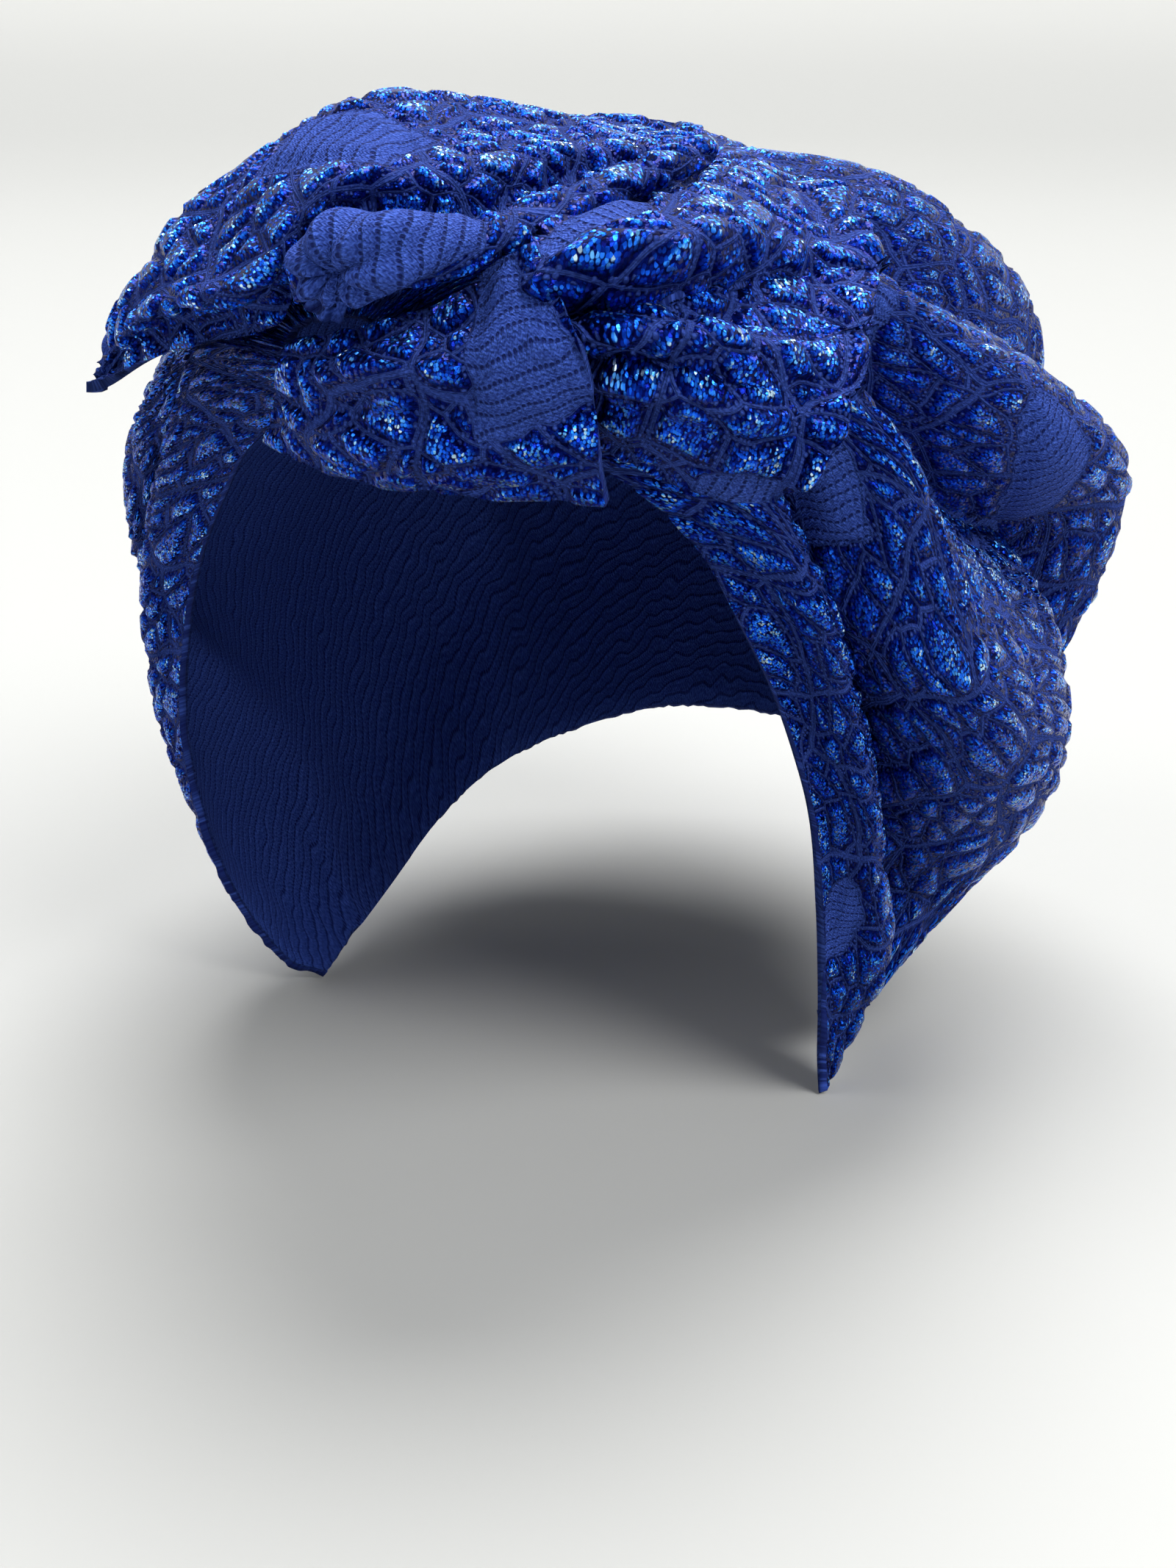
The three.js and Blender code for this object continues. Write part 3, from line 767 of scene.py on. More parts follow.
@dataclass(frozen=True)
class ClothEffect:
    """The shader node group of the knit that all three finishes share."""

    pattern: CellPattern
    yarn: YarnColours = YarnColours()
    glitter: GlitterColours = GlitterColours()
    ground: Colour = (0.0008, 0.002, 0.065, 1)
    flake: float = 0.58
    flake_radius: float = 0.66
    flake_tilt: float = 1.4
    cord_height: float = 0.7
    pillow_height: float = 0.3
    bead: float = 1.25
    bead_radius: float = 0.43
    bead_reach: float = 1.2
    bead_share: float = 0.45
    bead_height: float = 0.75
    strand: float = 0.55
    strand_height: float = 0.3
    ladder: float = 3.2
    ladder_sway: float = 2.6
    dash: float = 1.1
    ladder_height: float = 0.55
    hole_shift: float = 1.3
    stitch: float = 1.1
    rib: float = 0.8
    rib_height: float = 0.1

    def group(self) -> bpy.types.NodeTree:
        """Builds the group.

        Returns:
            A shader group that puts out colour, roughness, glitter share and normal.
        """
        tree = bpy.data.node_groups.new("glitter cell knit", "ShaderNodeTree")
        group_socket(tree, "Cloth", "Vector", "INPUT")
        group_socket(tree, "Leaf", "Vector", "INPUT")
        group_socket(tree, "Glitter", "Float", "INPUT", 1.0)
        group_socket(tree, "Depth", "Float", "INPUT", 1.0)
        for name, kind in (("Color", "Color"), ("Roughness", "Float"), ("Metallic", "Float"), ("Normal", "Vector")):
            group_socket(tree, name, kind, "OUTPUT")
        wiring = Wiring(tree)
        given = wiring.node("NodeGroupInput")
        result = wiring.node("NodeGroupOutput")
        place = wiring.vector("SCALE", given.outputs["Cloth"], scale=1 / MM)
        leaf = given.outputs["Leaf"]
        cells = self.pattern.draw(wiring, place, leaf)
        beads, bead_mask = self.beads(wiring, place, cells)
        cord_mask = wiring.rise(cells.near, self.pattern.cord_half * 0.85, self.pattern.cord_half * 1.25, 1.0, 0.0)
        plain = wiring.sum("MAXIMUM", wiring.sum("MAXIMUM", cord_mask, bead_mask), cells.leaf)
        shown = wiring.sum("MULTIPLY", wiring.sum("SUBTRACT", 1.0, plain), given.outputs["Glitter"])

        flake_place = wiring.vector("SCALE", place, scale=1 / self.flake)
        flakes = wiring.voronoi(flake_place, "F1", 1.0)
        chance = wiring.split(flakes.outputs["Color"])
        patchy = wiring.noise(place, 0.16, 2).outputs[0]
        # Painted glints: how brightly each flake flashes is picked by chance and in patches. Painted shade dims the
        # flakes near the cords, in the grooves.
        bright = wiring.sum("ADD", chance[0], wiring.sum("MULTIPLY", wiring.sum("SUBTRACT", patchy, 0.5), 0.9))
        bright = wiring.sum("MULTIPLY", bright, wiring.rise(cells.near, 0.6, 2.4, 0.45, 1.0))
        dot = wiring.rise(flakes.outputs["Distance"], self.flake_radius * 0.6, self.flake_radius, 1.0, 0.0)
        spark = wiring.blend_colour(dot, self.ground, wiring.ramp(bright, self.glitter.stops))
        from_middle = wiring.vector("SUBTRACT", flake_place, flakes.outputs["Position"])
        tilt = wiring.vector("SUBTRACT", flakes.outputs["Color"], (0.5, 0.5, 0.5))
        facet = wiring.sum("MULTIPLY", wiring.vector("DOT_PRODUCT", from_middle, tilt), self.flake * self.flake_tilt)

        strands = wiring.noise(wiring.vector("MULTIPLY", place, (2.6, 1.1, 1.0)), 1.0, 2).outputs[0]
        yarn = wiring.blend_colour(wiring.rise(strands, 0.3, 0.7), self.yarn.deep, self.yarn.lit)
        twist = wiring.sum("COSINE", wiring.sum("MULTIPLY", cells.near, math.tau / self.strand))
        twist = wiring.sum("MULTIPLY", wiring.sum("MULTIPLY", twist, self.strand_height), cord_mask)
        ladder, light = self.ladder_relief(wiring, place, leaf)
        # Painted light and shade on the yarn: off the leaves it is lighter on the cord tops and the beads and darker
        # beside them; on the leaves it follows the rows, holes and stitches.
        light = wiring.blend(cells.leaf, wiring.rise(cells.cord, 0.0, 0.8, 0.2, 0.58), light)
        light = wiring.sum("MAXIMUM", light, wiring.sum("MULTIPLY", beads, 0.64))
        yarn = wiring.blend_colour(light, self.yarn.shade, yarn)
        matte_height = wiring.sum("MULTIPLY", ladder, cells.leaf)
        height = wiring.sum("MULTIPLY", wiring.sum("ADD", cells.cord, twist), self.cord_height)
        height = wiring.sum("MAXIMUM", height, wiring.sum("MULTIPLY", beads, self.bead_height))
        height = wiring.sum("ADD", height, wiring.sum("MULTIPLY", cells.pillow, self.pillow_height))
        height = wiring.sum("ADD", height, wiring.sum("MULTIPLY", facet, shown))
        height = wiring.sum("ADD", height, matte_height)
        height = wiring.sum("ADD", height, wiring.sum("MULTIPLY", strands, 0.12))
        height = wiring.sum("MULTIPLY", height, given.outputs["Depth"])
        bump = wiring.node("ShaderNodeBump")
        bump.inputs["Strength"].default_value = 1.0
        bump.inputs["Distance"].default_value = MM
        wiring.feed(bump.inputs["Height"], height)

        # Painted shade: the glitter turns towards the yarn's shade colour in the grooves next to the cords.
        painted_groove_shade = wiring.rise(cells.near, 0.5, 2.0, 0.2, 1.0)
        spark = wiring.blend_colour(painted_groove_shade, self.yarn.shade, spark)
        wiring.feed(result.inputs["Color"], wiring.blend_colour(shown, yarn, spark))
        wiring.feed(result.inputs["Roughness"], wiring.blend(shown, 0.82, 0.28))
        wiring.feed(result.inputs["Metallic"], wiring.sum("MULTIPLY", shown, 0.9))
        wiring.feed(result.inputs["Normal"], bump.outputs[0])
        return tree

    def beads(self, wiring: Wiring, place: Socket, cells: CellSockets) -> tuple[Socket, Socket]:
        """Makes the small matte knobs that line the cords.

        Args:
            wiring: The tree.
            place: Millimetres on the flat cloth.
            cells: The cell pattern at this place.

        Returns:
            Their round height from 0 to 1, and the mask of where they are.
        """
        knobs = wiring.voronoi(wiring.vector("SCALE", place, scale=1 / self.bead), "F1", 0.8)
        picked = wiring.rise(wiring.split(knobs.outputs["Color"])[0], self.bead_share - 0.02, self.bead_share + 0.02)
        beside = wiring.rise(cells.near, self.bead_reach - 0.15, self.bead_reach + 0.15, 1.0, 0.0)
        share = wiring.sum("DIVIDE", knobs.outputs["Distance"], self.bead_radius)
        dome = wiring.sum("SQRT", wiring.sum("SUBTRACT", 1.0, wiring.sum("MULTIPLY", share, share), clamp=True))
        there = wiring.sum("MULTIPLY", wiring.sum("MULTIPLY", picked, beside), wiring.sum("SUBTRACT", 1.0, cells.leaf))
        dome = wiring.sum("MULTIPLY", dome, there)
        return dome, wiring.rise(dome, 0.05, 0.3)

    def ladder_relief(self, wiring: Wiring, place: Socket, leaf: Socket) -> tuple[Socket, Socket]:
        """Makes the raised rows, their holes and the chevron stitches of a matte leaf, with painted shade in the holes
        and between the stitches.

        Args:
            wiring: The tree.
            place: Millimetres on the flat cloth.
            leaf: Millimetres along and across the leaf.

        Returns:
            Height in millimetres, and the painted light and shade of the yarn.
        """
        along, across, _ = wiring.split(leaf)
        sway = wiring.sum("SUBTRACT", wiring.noise(place, 0.09, 1).outputs[0], 0.5)
        along = wiring.sum("ADD", along, wiring.sum("MULTIPLY", sway, 2 * self.ladder_sway))
        turn = wiring.sum("MULTIPLY", along, math.tau / self.ladder)
        row = wiring.sum("COSINE", turn)
        after = wiring.sum("COSINE", wiring.sum("ADD", turn, self.hole_shift))
        dash = wiring.sum("COSINE", wiring.sum("MULTIPLY", across, math.tau / self.dash))
        raised = wiring.sum("MULTIPLY", wiring.rise(row, 0.4, 1.0), wiring.rise(dash, -0.9, 0.3, 0.2, 1.0))
        holes = wiring.sum("MULTIPLY", wiring.rise(after, 0.6, 0.97), wiring.rise(dash, -0.6, 0.5, 0.25, 1.0))
        point = wiring.sum("SUBTRACT", wiring.sum("FRACT", wiring.sum("DIVIDE", across, self.stitch)), 0.5)
        slant = wiring.sum("MULTIPLY", wiring.sum("ABSOLUTE", point), self.stitch)
        stitch = wiring.sum("COSINE", wiring.sum("MULTIPLY", wiring.sum("ADD", along, slant), math.tau / self.rib))
        height = wiring.sum("MULTIPLY", raised, self.ladder_height)
        height = wiring.sum("ADD", height, wiring.sum("MULTIPLY", stitch, self.rib_height))
        height = wiring.sum("SUBTRACT", height, wiring.sum("MULTIPLY", holes, self.ladder_height))
        # Painted light and shade: brighter on the raised rows, darker in the holes and between the stitches.
        light = wiring.sum("SUBTRACT", wiring.rise(row, 0.3, 0.95, 0.8, 1.3), wiring.sum("MULTIPLY", holes, 0.65))
        return height, wiring.sum("MULTIPLY", light, wiring.rise(stitch, -1.0, 0.6, 0.7, 1.0))


@dataclass(frozen=True)
class KnitFinish:
    """One finish of the knit: how much glitter and relief it shows."""

    name: str
    glitter: float
    depth: float
    sheen: float
    sheen_tint: Colour = (0.25, 0.4, 1.0, 1)

    def material(self, effect: bpy.types.NodeTree) -> bpy.types.Material:
        """Builds the material round the shared group.

        Args:
            effect: The shared group.

        Returns:
            The material.
        """
        material = bpy.data.materials.new(self.name)
        material.use_nodes = True
        wiring = Wiring(material.node_tree)
        shader = material.node_tree.nodes["Principled BSDF"]
        group = wiring.node("ShaderNodeGroup", node_tree=effect)
        cloth = wiring.node("ShaderNodeUVMap", uv_map=CLOTH_MAP).outputs[0]
        leaf = wiring.node("ShaderNodeAttribute", attribute_name=LEAF).outputs["Vector"]
        wiring.feed(group.inputs["Cloth"], cloth)
        wiring.feed(group.inputs["Leaf"], leaf)
        group.inputs["Glitter"].default_value = self.glitter
        group.inputs["Depth"].default_value = self.depth
        wiring.feed(shader.inputs["Base Color"], group.outputs["Color"])
        wiring.feed(shader.inputs["Roughness"], group.outputs["Roughness"])
        wiring.feed(shader.inputs["Metallic"], group.outputs["Metallic"])
        wiring.feed(shader.inputs["Normal"], group.outputs["Normal"])
        shader.inputs["Specular IOR Level"].default_value = 0.08
        shader.inputs["Sheen Weight"].default_value = self.sheen
        shader.inputs["Sheen Roughness"].default_value = 0.5
        shader.inputs["Sheen Tint"].default_value = self.sheen_tint
        return material


@dataclass
class Wardrobe:
    """The finishes and the relief that the pieces share, made once."""

    pattern: CellPattern = field(default_factory=CellPattern)

    def __post_init__(self) -> None:
        """Builds the shared group, the materials and the relief tree."""
        effect = ClothEffect(self.pattern).group()
        self.glitter = KnitFinish("glitter cell knit", 1.0, 1.0, 0.0).material(effect)
        self.matte = KnitFinish("matte ladder knit", 1.0, 1.0, 0.02).material(effect)
        self.reverse = KnitFinish("matte reverse knit", 0.0, 0.45, 0.02).material(effect)
        self.relief = Relief(self.pattern).tree()


# ---- Pieces ----


@dataclass
class ClothGrid:
    """A piece of cloth as a grid: its outer face, its flat pattern places and its leaf coordinates."""

    name: str
    outer: Array
    flat: Array
    leaf: Array
    coarse: int = 3
    hem: int = 4
    inside: float = 10

    def mesh(self) -> bpy.types.Mesh:
        """Builds the closed mesh: a fine outer face, a coarser inner face and the edges between them.

        Returns:
            The mesh, with the cloth map, the leaf coordinates and the relief share.
        """
        columns, rows, _ = self.outer.shape
        count = columns * rows
        out = normals(smoothed(self.outer, 2 * self.coarse))
        inner = smoothed(self.outer - out * REACH.wall, 2 * self.coarse)
        points = np.concatenate([self.outer.reshape(-1, 3), inner.reshape(-1, 3)]) * MM
        index = np.arange(count).reshape(columns, rows)
        a, b, c, d = index[:-1, :-1], index[:-1, 1:], index[1:, 1:], index[1:, :-1]
        faces = np.stack([a, b, c, d], -1).reshape(-1, 4).tolist()
        outside = len(faces)
        faces += self.rim(index, count)
        faces += self.inner_faces(index + count)
        used = np.unique(np.concatenate([np.asarray(face) for face in faces]))
        renumber = np.full(2 * count, -1)
        renumber[used] = np.arange(len(used))
        mesh = bpy.data.meshes.new(self.name)
        mesh.from_pydata(points[used].tolist(), [], [renumber[face].tolist() for face in faces])
        mesh.polygons.foreach_set("use_smooth", np.ones(len(faces), bool))
        sides = np.full(len(faces), INSIDE, np.int32)
        sides[:outside] = OUTSIDE
        mesh.polygons.foreach_set("material_index", sides)
        flat = np.concatenate([self.flat.reshape(-1, 2)] * 2)[used] * MM
        layer = mesh.uv_layers.new(name=CLOTH_MAP)
        corner_points = np.empty(len(mesh.loops), np.int32)
        mesh.loops.foreach_get("vertex_index", corner_points)
        layer.data.foreach_set("uv", flat[corner_points].astype(np.float32).ravel())
        reverse = np.concatenate([self.flat[..., ::-1], np.full((columns, rows, 1), self.inside)], -1)
        leaf = np.concatenate([self.leaf.reshape(-1, 3), reverse.reshape(-1, 3)])[used]
        mesh.attributes.new(LEAF, "FLOAT_VECTOR", "POINT").data.foreach_set("vector", leaf.astype(np.float32).ravel())
        from_edge = [np.minimum(np.arange(size), np.arange(size)[::-1]) for size in (columns, rows)]
        full = ease((np.minimum(from_edge[0][:, None], from_edge[1][None]) + 1) / self.hem) * 0.7 + 0.3
        share = np.concatenate([full.ravel(), np.zeros(count)])[used]
        mesh.attributes.new(RELIEF, "FLOAT", "POINT").data.foreach_set("value", share.astype(np.float32))
        log.info("%s: %d outer faces, %d in all", self.name, outside, len(faces))
        return mesh

    def rim(self, index: Array, shift: int) -> list[list[int]]:
        """Closes the edges between the outer and the inner face.

        Args:
            index: Numbers of the outer points.
            shift: From an outer point's number to that of the inner point below it.

        Returns:
            Faces.
        """
        faces: list[list[int]] = []
        edges = ((index[:, 0], False), (index[:, -1], True), (index[0, :], True), (index[-1, :], False))
        for edge, turned in edges:
            for near, far in zip(edge[:-1].tolist(), edge[1:].tolist()):
                if turned:
                    near, far = far, near
                faces.append([near, far, far + shift, near + shift])
        return faces

    def inner_faces(self, index: Array) -> list[list[int]]:
        """Builds the inner face from every few points, with all of them along its edges.

        Args:
            index: Numbers of the inner points.

        Returns:
            Faces that look inwards.
        """
        columns, rows = index.shape
        step = self.coarse
        faces: list[list[int]] = []
        for column in range(0, columns - 1, step):
            for row in range(0, rows - 1, step):
                right, down = column + step, row + step
                top = list(range(column, right)) if row == 0 else [column]
                far = list(range(row, down)) if right == columns - 1 else [row]
                bottom = list(range(right, column, -1)) if down == rows - 1 else [right]
                near = list(range(down, row, -1)) if column == 0 else [down]
                face = [index[i, row] for i in top] + [index[right, j] for j in far]
                face += [index[i, down] for i in bottom] + [index[column, j] for j in near]
                faces.append([int(number) for number in face])
        return faces


def put_on(name: str, mesh: bpy.types.Mesh, wardrobe: Wardrobe, outside: bpy.types.Material,
           puff: float | None = None) -> bpy.types.Object:
    """Makes a piece of a closed cloth mesh, with its cells puffed out and its materials on.

    Args:
        name: The piece's name.
        mesh: The closed mesh.
        wardrobe: Shared finishes and relief.
        outside: Material of the outer face.
        puff: Height of the cells in millimetres, if not the usual one.

    Returns:
        The piece.
    """
    mesh.materials.append(outside)
    mesh.materials.append(wardrobe.reverse)
    piece = bpy.data.objects.new(name, mesh)
    bpy.context.scene.collection.objects.link(piece)
    values: dict[str, object] = {"Outside": outside, "Inside": wardrobe.reverse}
    if puff is not None:
        values["Puff"] = puff * MM
    apply_nodes(piece, wardrobe.relief, values)
    return piece


@dataclass(frozen=True)
class CapSection:
    """One arch of the cap. See the CAD source."""

    along: float
    left: Place
    right: Place
    top: tuple[float, float]
    half: tuple[float, float]
    at: float


@dataclass(frozen=True)
class FoldLine:
    """One fold line of the cap. See the CAD source."""

    name: str
    across: tuple[float, float, float, float]
    depth: float
    ridge: float
    lean: float


CAP_SECTIONS = (
    CapSection(0.0, (0.11, -0.96, 0.17), (0.11, -0.96, 0.2), (-1.0, 0.54), (0.16, 0.15), 0.5),
    CapSection(0.08, (0.33, -0.88, 0.09), (0.3, -0.87, 0.02), (-0.94, 0.75), (0.4, 0.37), 0.4),
    CapSection(0.2, (0.51, -0.79, -0.03), (0.47, -0.77, -0.1), (-0.73, 0.87), (0.66, 0.6), 0.26),
    CapSection(0.36, (0.64, -0.61, -0.22), (0.66, -0.65, -0.29), (-0.31, 0.95), (0.81, 0.82), 0.22),
    CapSection(0.52, (0.71, -0.42, -0.46), (0.78, -0.53, -0.54), (0.15, 1.0), (0.89, 0.94), 0.28),
    CapSection(0.68, (0.71, -0.3, -0.67), (0.8, -0.4, -0.75), (0.56, 0.84), (1.0, 0.99), 0.41),
    CapSection(0.82, (0.7, -0.24, -0.82), (0.78, -0.28, -0.89), (0.91, 0.2), (1.0, 1.0), 0.52),
    CapSection(0.92, (0.69, -0.2, -0.91), (0.74, -0.21, -0.96), (1.0, -0.33), (0.83, 0.88), 0.52),
    CapSection(1.0, (0.69, -0.16, -0.99), (0.68, -0.14, -0.99), (0.7, -0.7), (0.66, 0.68), 0.42),
)
FOLD_LINES = (
    FoldLine("left hem", (0.0, 0.0, 0.0, 0.0), 0.0, 0.05, 0.0),
    FoldLine("left temple", (0.34, 0.195, 0.075, 0.08), 1.85, 0.65, 2.1),
    FoldLine("left side", (0.44, 0.345, 0.228, 0.2), 1.85, 0.4, 1.8),
    FoldLine("left crown", (0.5, 0.43, 0.335, 0.3), 0.9, 0.14, 0.7),
    FoldLine("middle crown", (0.56, 0.52, 0.46, 0.4), 0.3, 0.18, 0.0),
    FoldLine("right crown", (0.63, 0.62, 0.6, 0.57), 0.35, 0.26, -0.3),
    FoldLine("right side", (0.72, 0.74, 0.74, 0.74), 0.45, 0.3, -0.5),
    FoldLine("right temple", (0.8, 0.845, 0.885, 0.93), 0.4, 0.12, 0.0),
    FoldLine("right hem", (1.0, 1.0, 1.0, 1.0), 0.0, 0.0, 0.0),
)
CAP_LEAVES = [
    MatteLeaf((1.27, 0.27), (1.19, 0.385), (2.5, 5.0, 6.0)),
    MatteLeaf((2.5, 0.46), (2.2, 0.45), (3.0, 4.0, 2.5)),
    MatteLeaf((0.25, 0.66), (0.1, 0.76), (2.0, 5.0, 3.0)),
    MatteLeaf((2.42, 0.62), (2.06, 0.77), (3.0, 9.0, 5.0)),
    MatteLeaf((4.3, 0.75), (4.9, 0.62), (5.0, 13.0, 4.0)),
    MatteLeaf((5.2, 0.4), (5.6, 0.52), (3.0, 9.0, 5.0)),
    MatteLeaf((6.4, 0.7), (6.9, 0.82), (5.0, 12.0, 5.0)),
]


@dataclass
class CrownCap:
    """The main cap, with its folds from the gather to the nape."""

    columns: int = 342
    rows: int = 255
    fold_depth: float = 15
    fold_lean: float = 7
    low_share: float = 0.36
    squareness: float = 2.15
    even_climb: float = 0.45
    fold_start: float = 0.1
    fold_growth: float = 0.3
    fade_start: float = 0.86
    fade: float = 0.7
    sharpness: float = 1.6
    follow: float = 0.65
    crease: float = 1.3
    flat_size: tuple[float, float] = (0.46, 0.36)

    def section(self, along: Array, side: int) -> Array:
        """Returns the numbers of the arch at each place along, for the left (1) or the right (-1)."""
        rows = []
        for section in CAP_SECTIONS:
            hem = REACH.place(section.left if side > 0 else section.right)
            top = (REACH.forward_back(section.top[0]), REACH.up_down(section.top[1]))
            half = section.half[0 if side > 0 else 1] * REACH.half_width
            rows.append([*hem, *top, half, section.at])
        return weights([section.along for section in CAP_SECTIONS], along) @ np.array(rows)

    def form(self, across: Array, along: Array) -> Array:
        """Gives the cap's form without its folds.

        Args:
            across: From the left hem (0) over the top (0.5) to the right hem (1).
            along: From the gather (0) to the nape (1).

        Returns:
            Places.
        """
        left = (across <= 0.5)[..., None]
        numbers = np.where(left, self.section(along, 1), self.section(along, -1))
        hem_x, hem_y, hem_z, top_y, top_z, half, at = np.moveaxis(numbers, -1, 0)
        side = np.where(left[..., 0], 1, -1)
        climb = np.where(side > 0, 2 * across, 2 * (1 - across))
        low = np.clip(climb / self.low_share, 0, 1)
        low_turn = low * math.pi / 2
        low_x = hem_x + (half - hem_x) * np.sin(low_turn)
        low_up = at * ((1 - self.even_climb) * (1 - np.cos(low_turn)) + self.even_climb * low)
        high_turn = np.clip((climb - self.low_share) / (1 - self.low_share), 0, 1) * math.pi / 2
        power = 2 / self.squareness
        high_x = half * np.maximum(np.cos(high_turn), 0) ** power
        high_up = at + (1 - at) * np.sin(high_turn) ** power
        below = climb < self.low_share
        x, share = np.where(below, low_x, high_x), np.where(below, low_up, high_up)
        return np.stack([side * x, hem_y + (top_y - hem_y) * share, hem_z + (top_z - hem_z) * share], -1)

    def fold_lines(self, along: Array) -> Array:
        """Returns where every fold line crosses the arch, along a new last axis."""
        return weights([0, 1 / 3, 2 / 3, 1], along) @ np.array([line.across for line in FOLD_LINES]).T

    def fold_place(self, fold: Array, along: Array) -> Array:
        """Turns a place counted in folds into a share across."""
        index = np.clip(np.floor(fold).astype(int), 0, len(FOLD_LINES) - 2)
        lines = self.fold_lines(along)
        start = np.take_along_axis(lines, index[..., None], -1)[..., 0]
        end = np.take_along_axis(lines, index[..., None] + 1, -1)[..., 0]
        return start + (end - start) * (fold - index)

    def growth(self, along: Array) -> Array:
        """Returns how far the folds have grown."""
        grown = ease((along - self.fold_start) / self.fold_growth)
        return grown * (1 - self.fade * ease((along - self.fade_start) / (1 - self.fade_start)))

    def directions(self, across: Array, along: Array) -> tuple[Array, Array]:
        """Returns the direction over the cap's form and the way out of it."""
        sideways = self.form(np.minimum(across + STEP, 1), along) - self.form(np.maximum(across - STEP, 0), along)
        onward = self.form(across, np.minimum(along + STEP, 1)) - self.form(across, np.maximum(along - STEP, 0))
        return unit(sideways), unit(np.cross(onward, sideways))

    def face(self, fold: Array, along: Array) -> Array:
        """Gives the cap's outer face with its folds and small creases.

        Args:
            fold: Place counted in folds.
            along: From the gather (0) to the nape (1).

        Returns:
            Places.
        """
        index = np.clip(np.floor(fold).astype(int), 0, len(FOLD_LINES) - 2)
        share = fold - index
        depth = np.array([line.depth for line in FOLD_LINES])
        ridge = np.array([line.ridge for line in FOLD_LINES])[index]
        lean = np.array([line.lean for line in FOLD_LINES])[index]
        valley = np.abs(2 * share - 1) ** self.sharpness
        rise = ridge * (1 - valley) - (depth[index] * (1 - share) + depth[index + 1] * share) * valley
        growth = self.growth(along)
        across = self.fold_place(fold, along)
        sideways, out = self.directions(across, along)
        small = waves(fold * 2.3 + 7, along * 7 + 3, 11) * 0.6 + waves(fold * 4.1 + 2, along * 11 + 5, 12) * 0.4
        lift = rise * self.fold_depth * growth + small * self.crease * (0.35 + 0.65 * growth)
        point = self.form(across, along) + out * lift[..., None]
        return point - sideways * (lean * self.fold_lean * (1 - valley) * growth)[..., None]

    def envelope(self, across: Array, along: Array) -> Array:
        """Gives the face that cloth over the cap touches: it spans the valleys from ridge to ridge."""
        lines = self.fold_lines(along)
        index = np.clip((across[..., None] > lines[..., 1:-1]).sum(-1), 0, len(FOLD_LINES) - 2)
        start = np.take_along_axis(lines, index[..., None], -1)[..., 0]
        end = np.take_along_axis(lines, index[..., None] + 1, -1)[..., 0]
        share = (across - start) / (end - start)
        beside = np.clip(np.where(share < 0.5, index - 1, index + 1), 0, len(FOLD_LINES) - 2)
        ridge = np.array([line.ridge for line in FOLD_LINES])
        nearness = np.abs(share - 0.5)
        height = ridge[index] * (1 - nearness) + ridge[beside] * nearness
        _, out = self.directions(across, along)
        return self.form(across, along) + out * (height * self.fold_depth * self.growth(along))[..., None]

    def grid(self) -> ClothGrid:
        """Samples the cap evenly and lays it flat.

        Returns:
            The cap as a cloth grid.
        """
        folds = len(FOLD_LINES) - 1
        def face(across: Array, along: Array) -> Array:
            """Returns the face at shares from 0 to 1."""
            return self.face(across * folds, along)
        return sampled("crown_cap_cloth", face, self.columns, self.rows, (64, 30),
                       [MatteLeaf((leaf.start[0] / folds, leaf.start[1]), (leaf.end[0] / folds, leaf.end[1]),
                                  leaf.widths) for leaf in CAP_LEAVES], CAP_STRETCH, self.follow)

    def build(self, wardrobe: Wardrobe) -> bpy.types.Object:
        """Args:
            wardrobe: Shared finishes and relief.

        Returns:
            The piece.
        """
        grid = self.grid()
        piece = put_on(grid.name, grid.mesh(), wardrobe, wardrobe.glitter)
        declare(piece, "crown_cap", Slot.GLITTER_KNIT, self.flat_size, Hold.GATHERED, [])
        return piece


def sampled(name: str, face: Face, columns: int, rows: int, rough: tuple[int, int],
            leaves: list[MatteLeaf], stretch: tuple[float, float] = WING_STRETCH, follow: float = 0,
            coarse: int = 3) -> ClothGrid:
    """Samples a face into an evenly spaced grid with its flat places and its leaves.

    Args:
        name: The piece's name.
        face: Gives places for shares across and along.
        columns: Steps across, a multiple of coarse.
        rows: Steps along, a multiple of coarse.
        rough: Columns and rows of the rough grid that is laid flat.
        leaves: Matte leaves on the cloth.
        stretch: How much smaller than usual the cells are across and along.
        follow: How far the cells turn with the cloth's lines, from not at all (0) to fully (1).
        coarse: Steps of the outer face for one of the inner face.

    Returns:
        The grid.
    """
    def points(across: Array, along: Array) -> Array:
        """Returns the grid of places at two rows of shares."""
        return face(*np.meshgrid(across, along, indexing="ij"))
    rough_across, rough_along = np.linspace(0, 1, rough[0]), np.linspace(0, 1, rough[1])
    trial = points(rough_across, rough_along)
    across = even_stations(trial, columns + 1)
    along = even_stations(trial.transpose(1, 0, 2), rows + 1)
    flat = flattened(trial)
    over, down = weights(rough_across, across), weights(rough_along, along)
    fine = np.einsum("ci,ijk,rj->crk", over, flat, down)
    leaf = leaf_coordinates(fine, (across, along), leaves)
    pattern = fine[..., ::-1].copy()
    even = np.linspace(-0.5, 0.5, columns + 1)[:, None] * np.ptp(pattern[..., 0])
    pattern[..., 0] += (even - pattern[..., 0]) * follow
    return ClothGrid(name, points(across, along), pattern * stretch, leaf, coarse)


def declare(piece: bpy.types.Object, node: str, slot: Slot, flat: tuple[float, float], hold: Hold,
            rests_on: list[str]) -> None:
    """Tells the frame what a piece is.

    Args:
        piece: The piece.
        node: The CAD node that it replaces.
        slot: Not used.
        flat: Width and length of its flat cloth in metres.
        hold: Not used.
        rests_on: What it lies on.
    """
    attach(piece, "root")
    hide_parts(node)
    area = sum(face.area for face in piece.data.polygons) / 2
    log.info("%s: area %.5f, flat %.5f", piece.name, area, flat[0] * flat[1])
    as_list(rests_on)


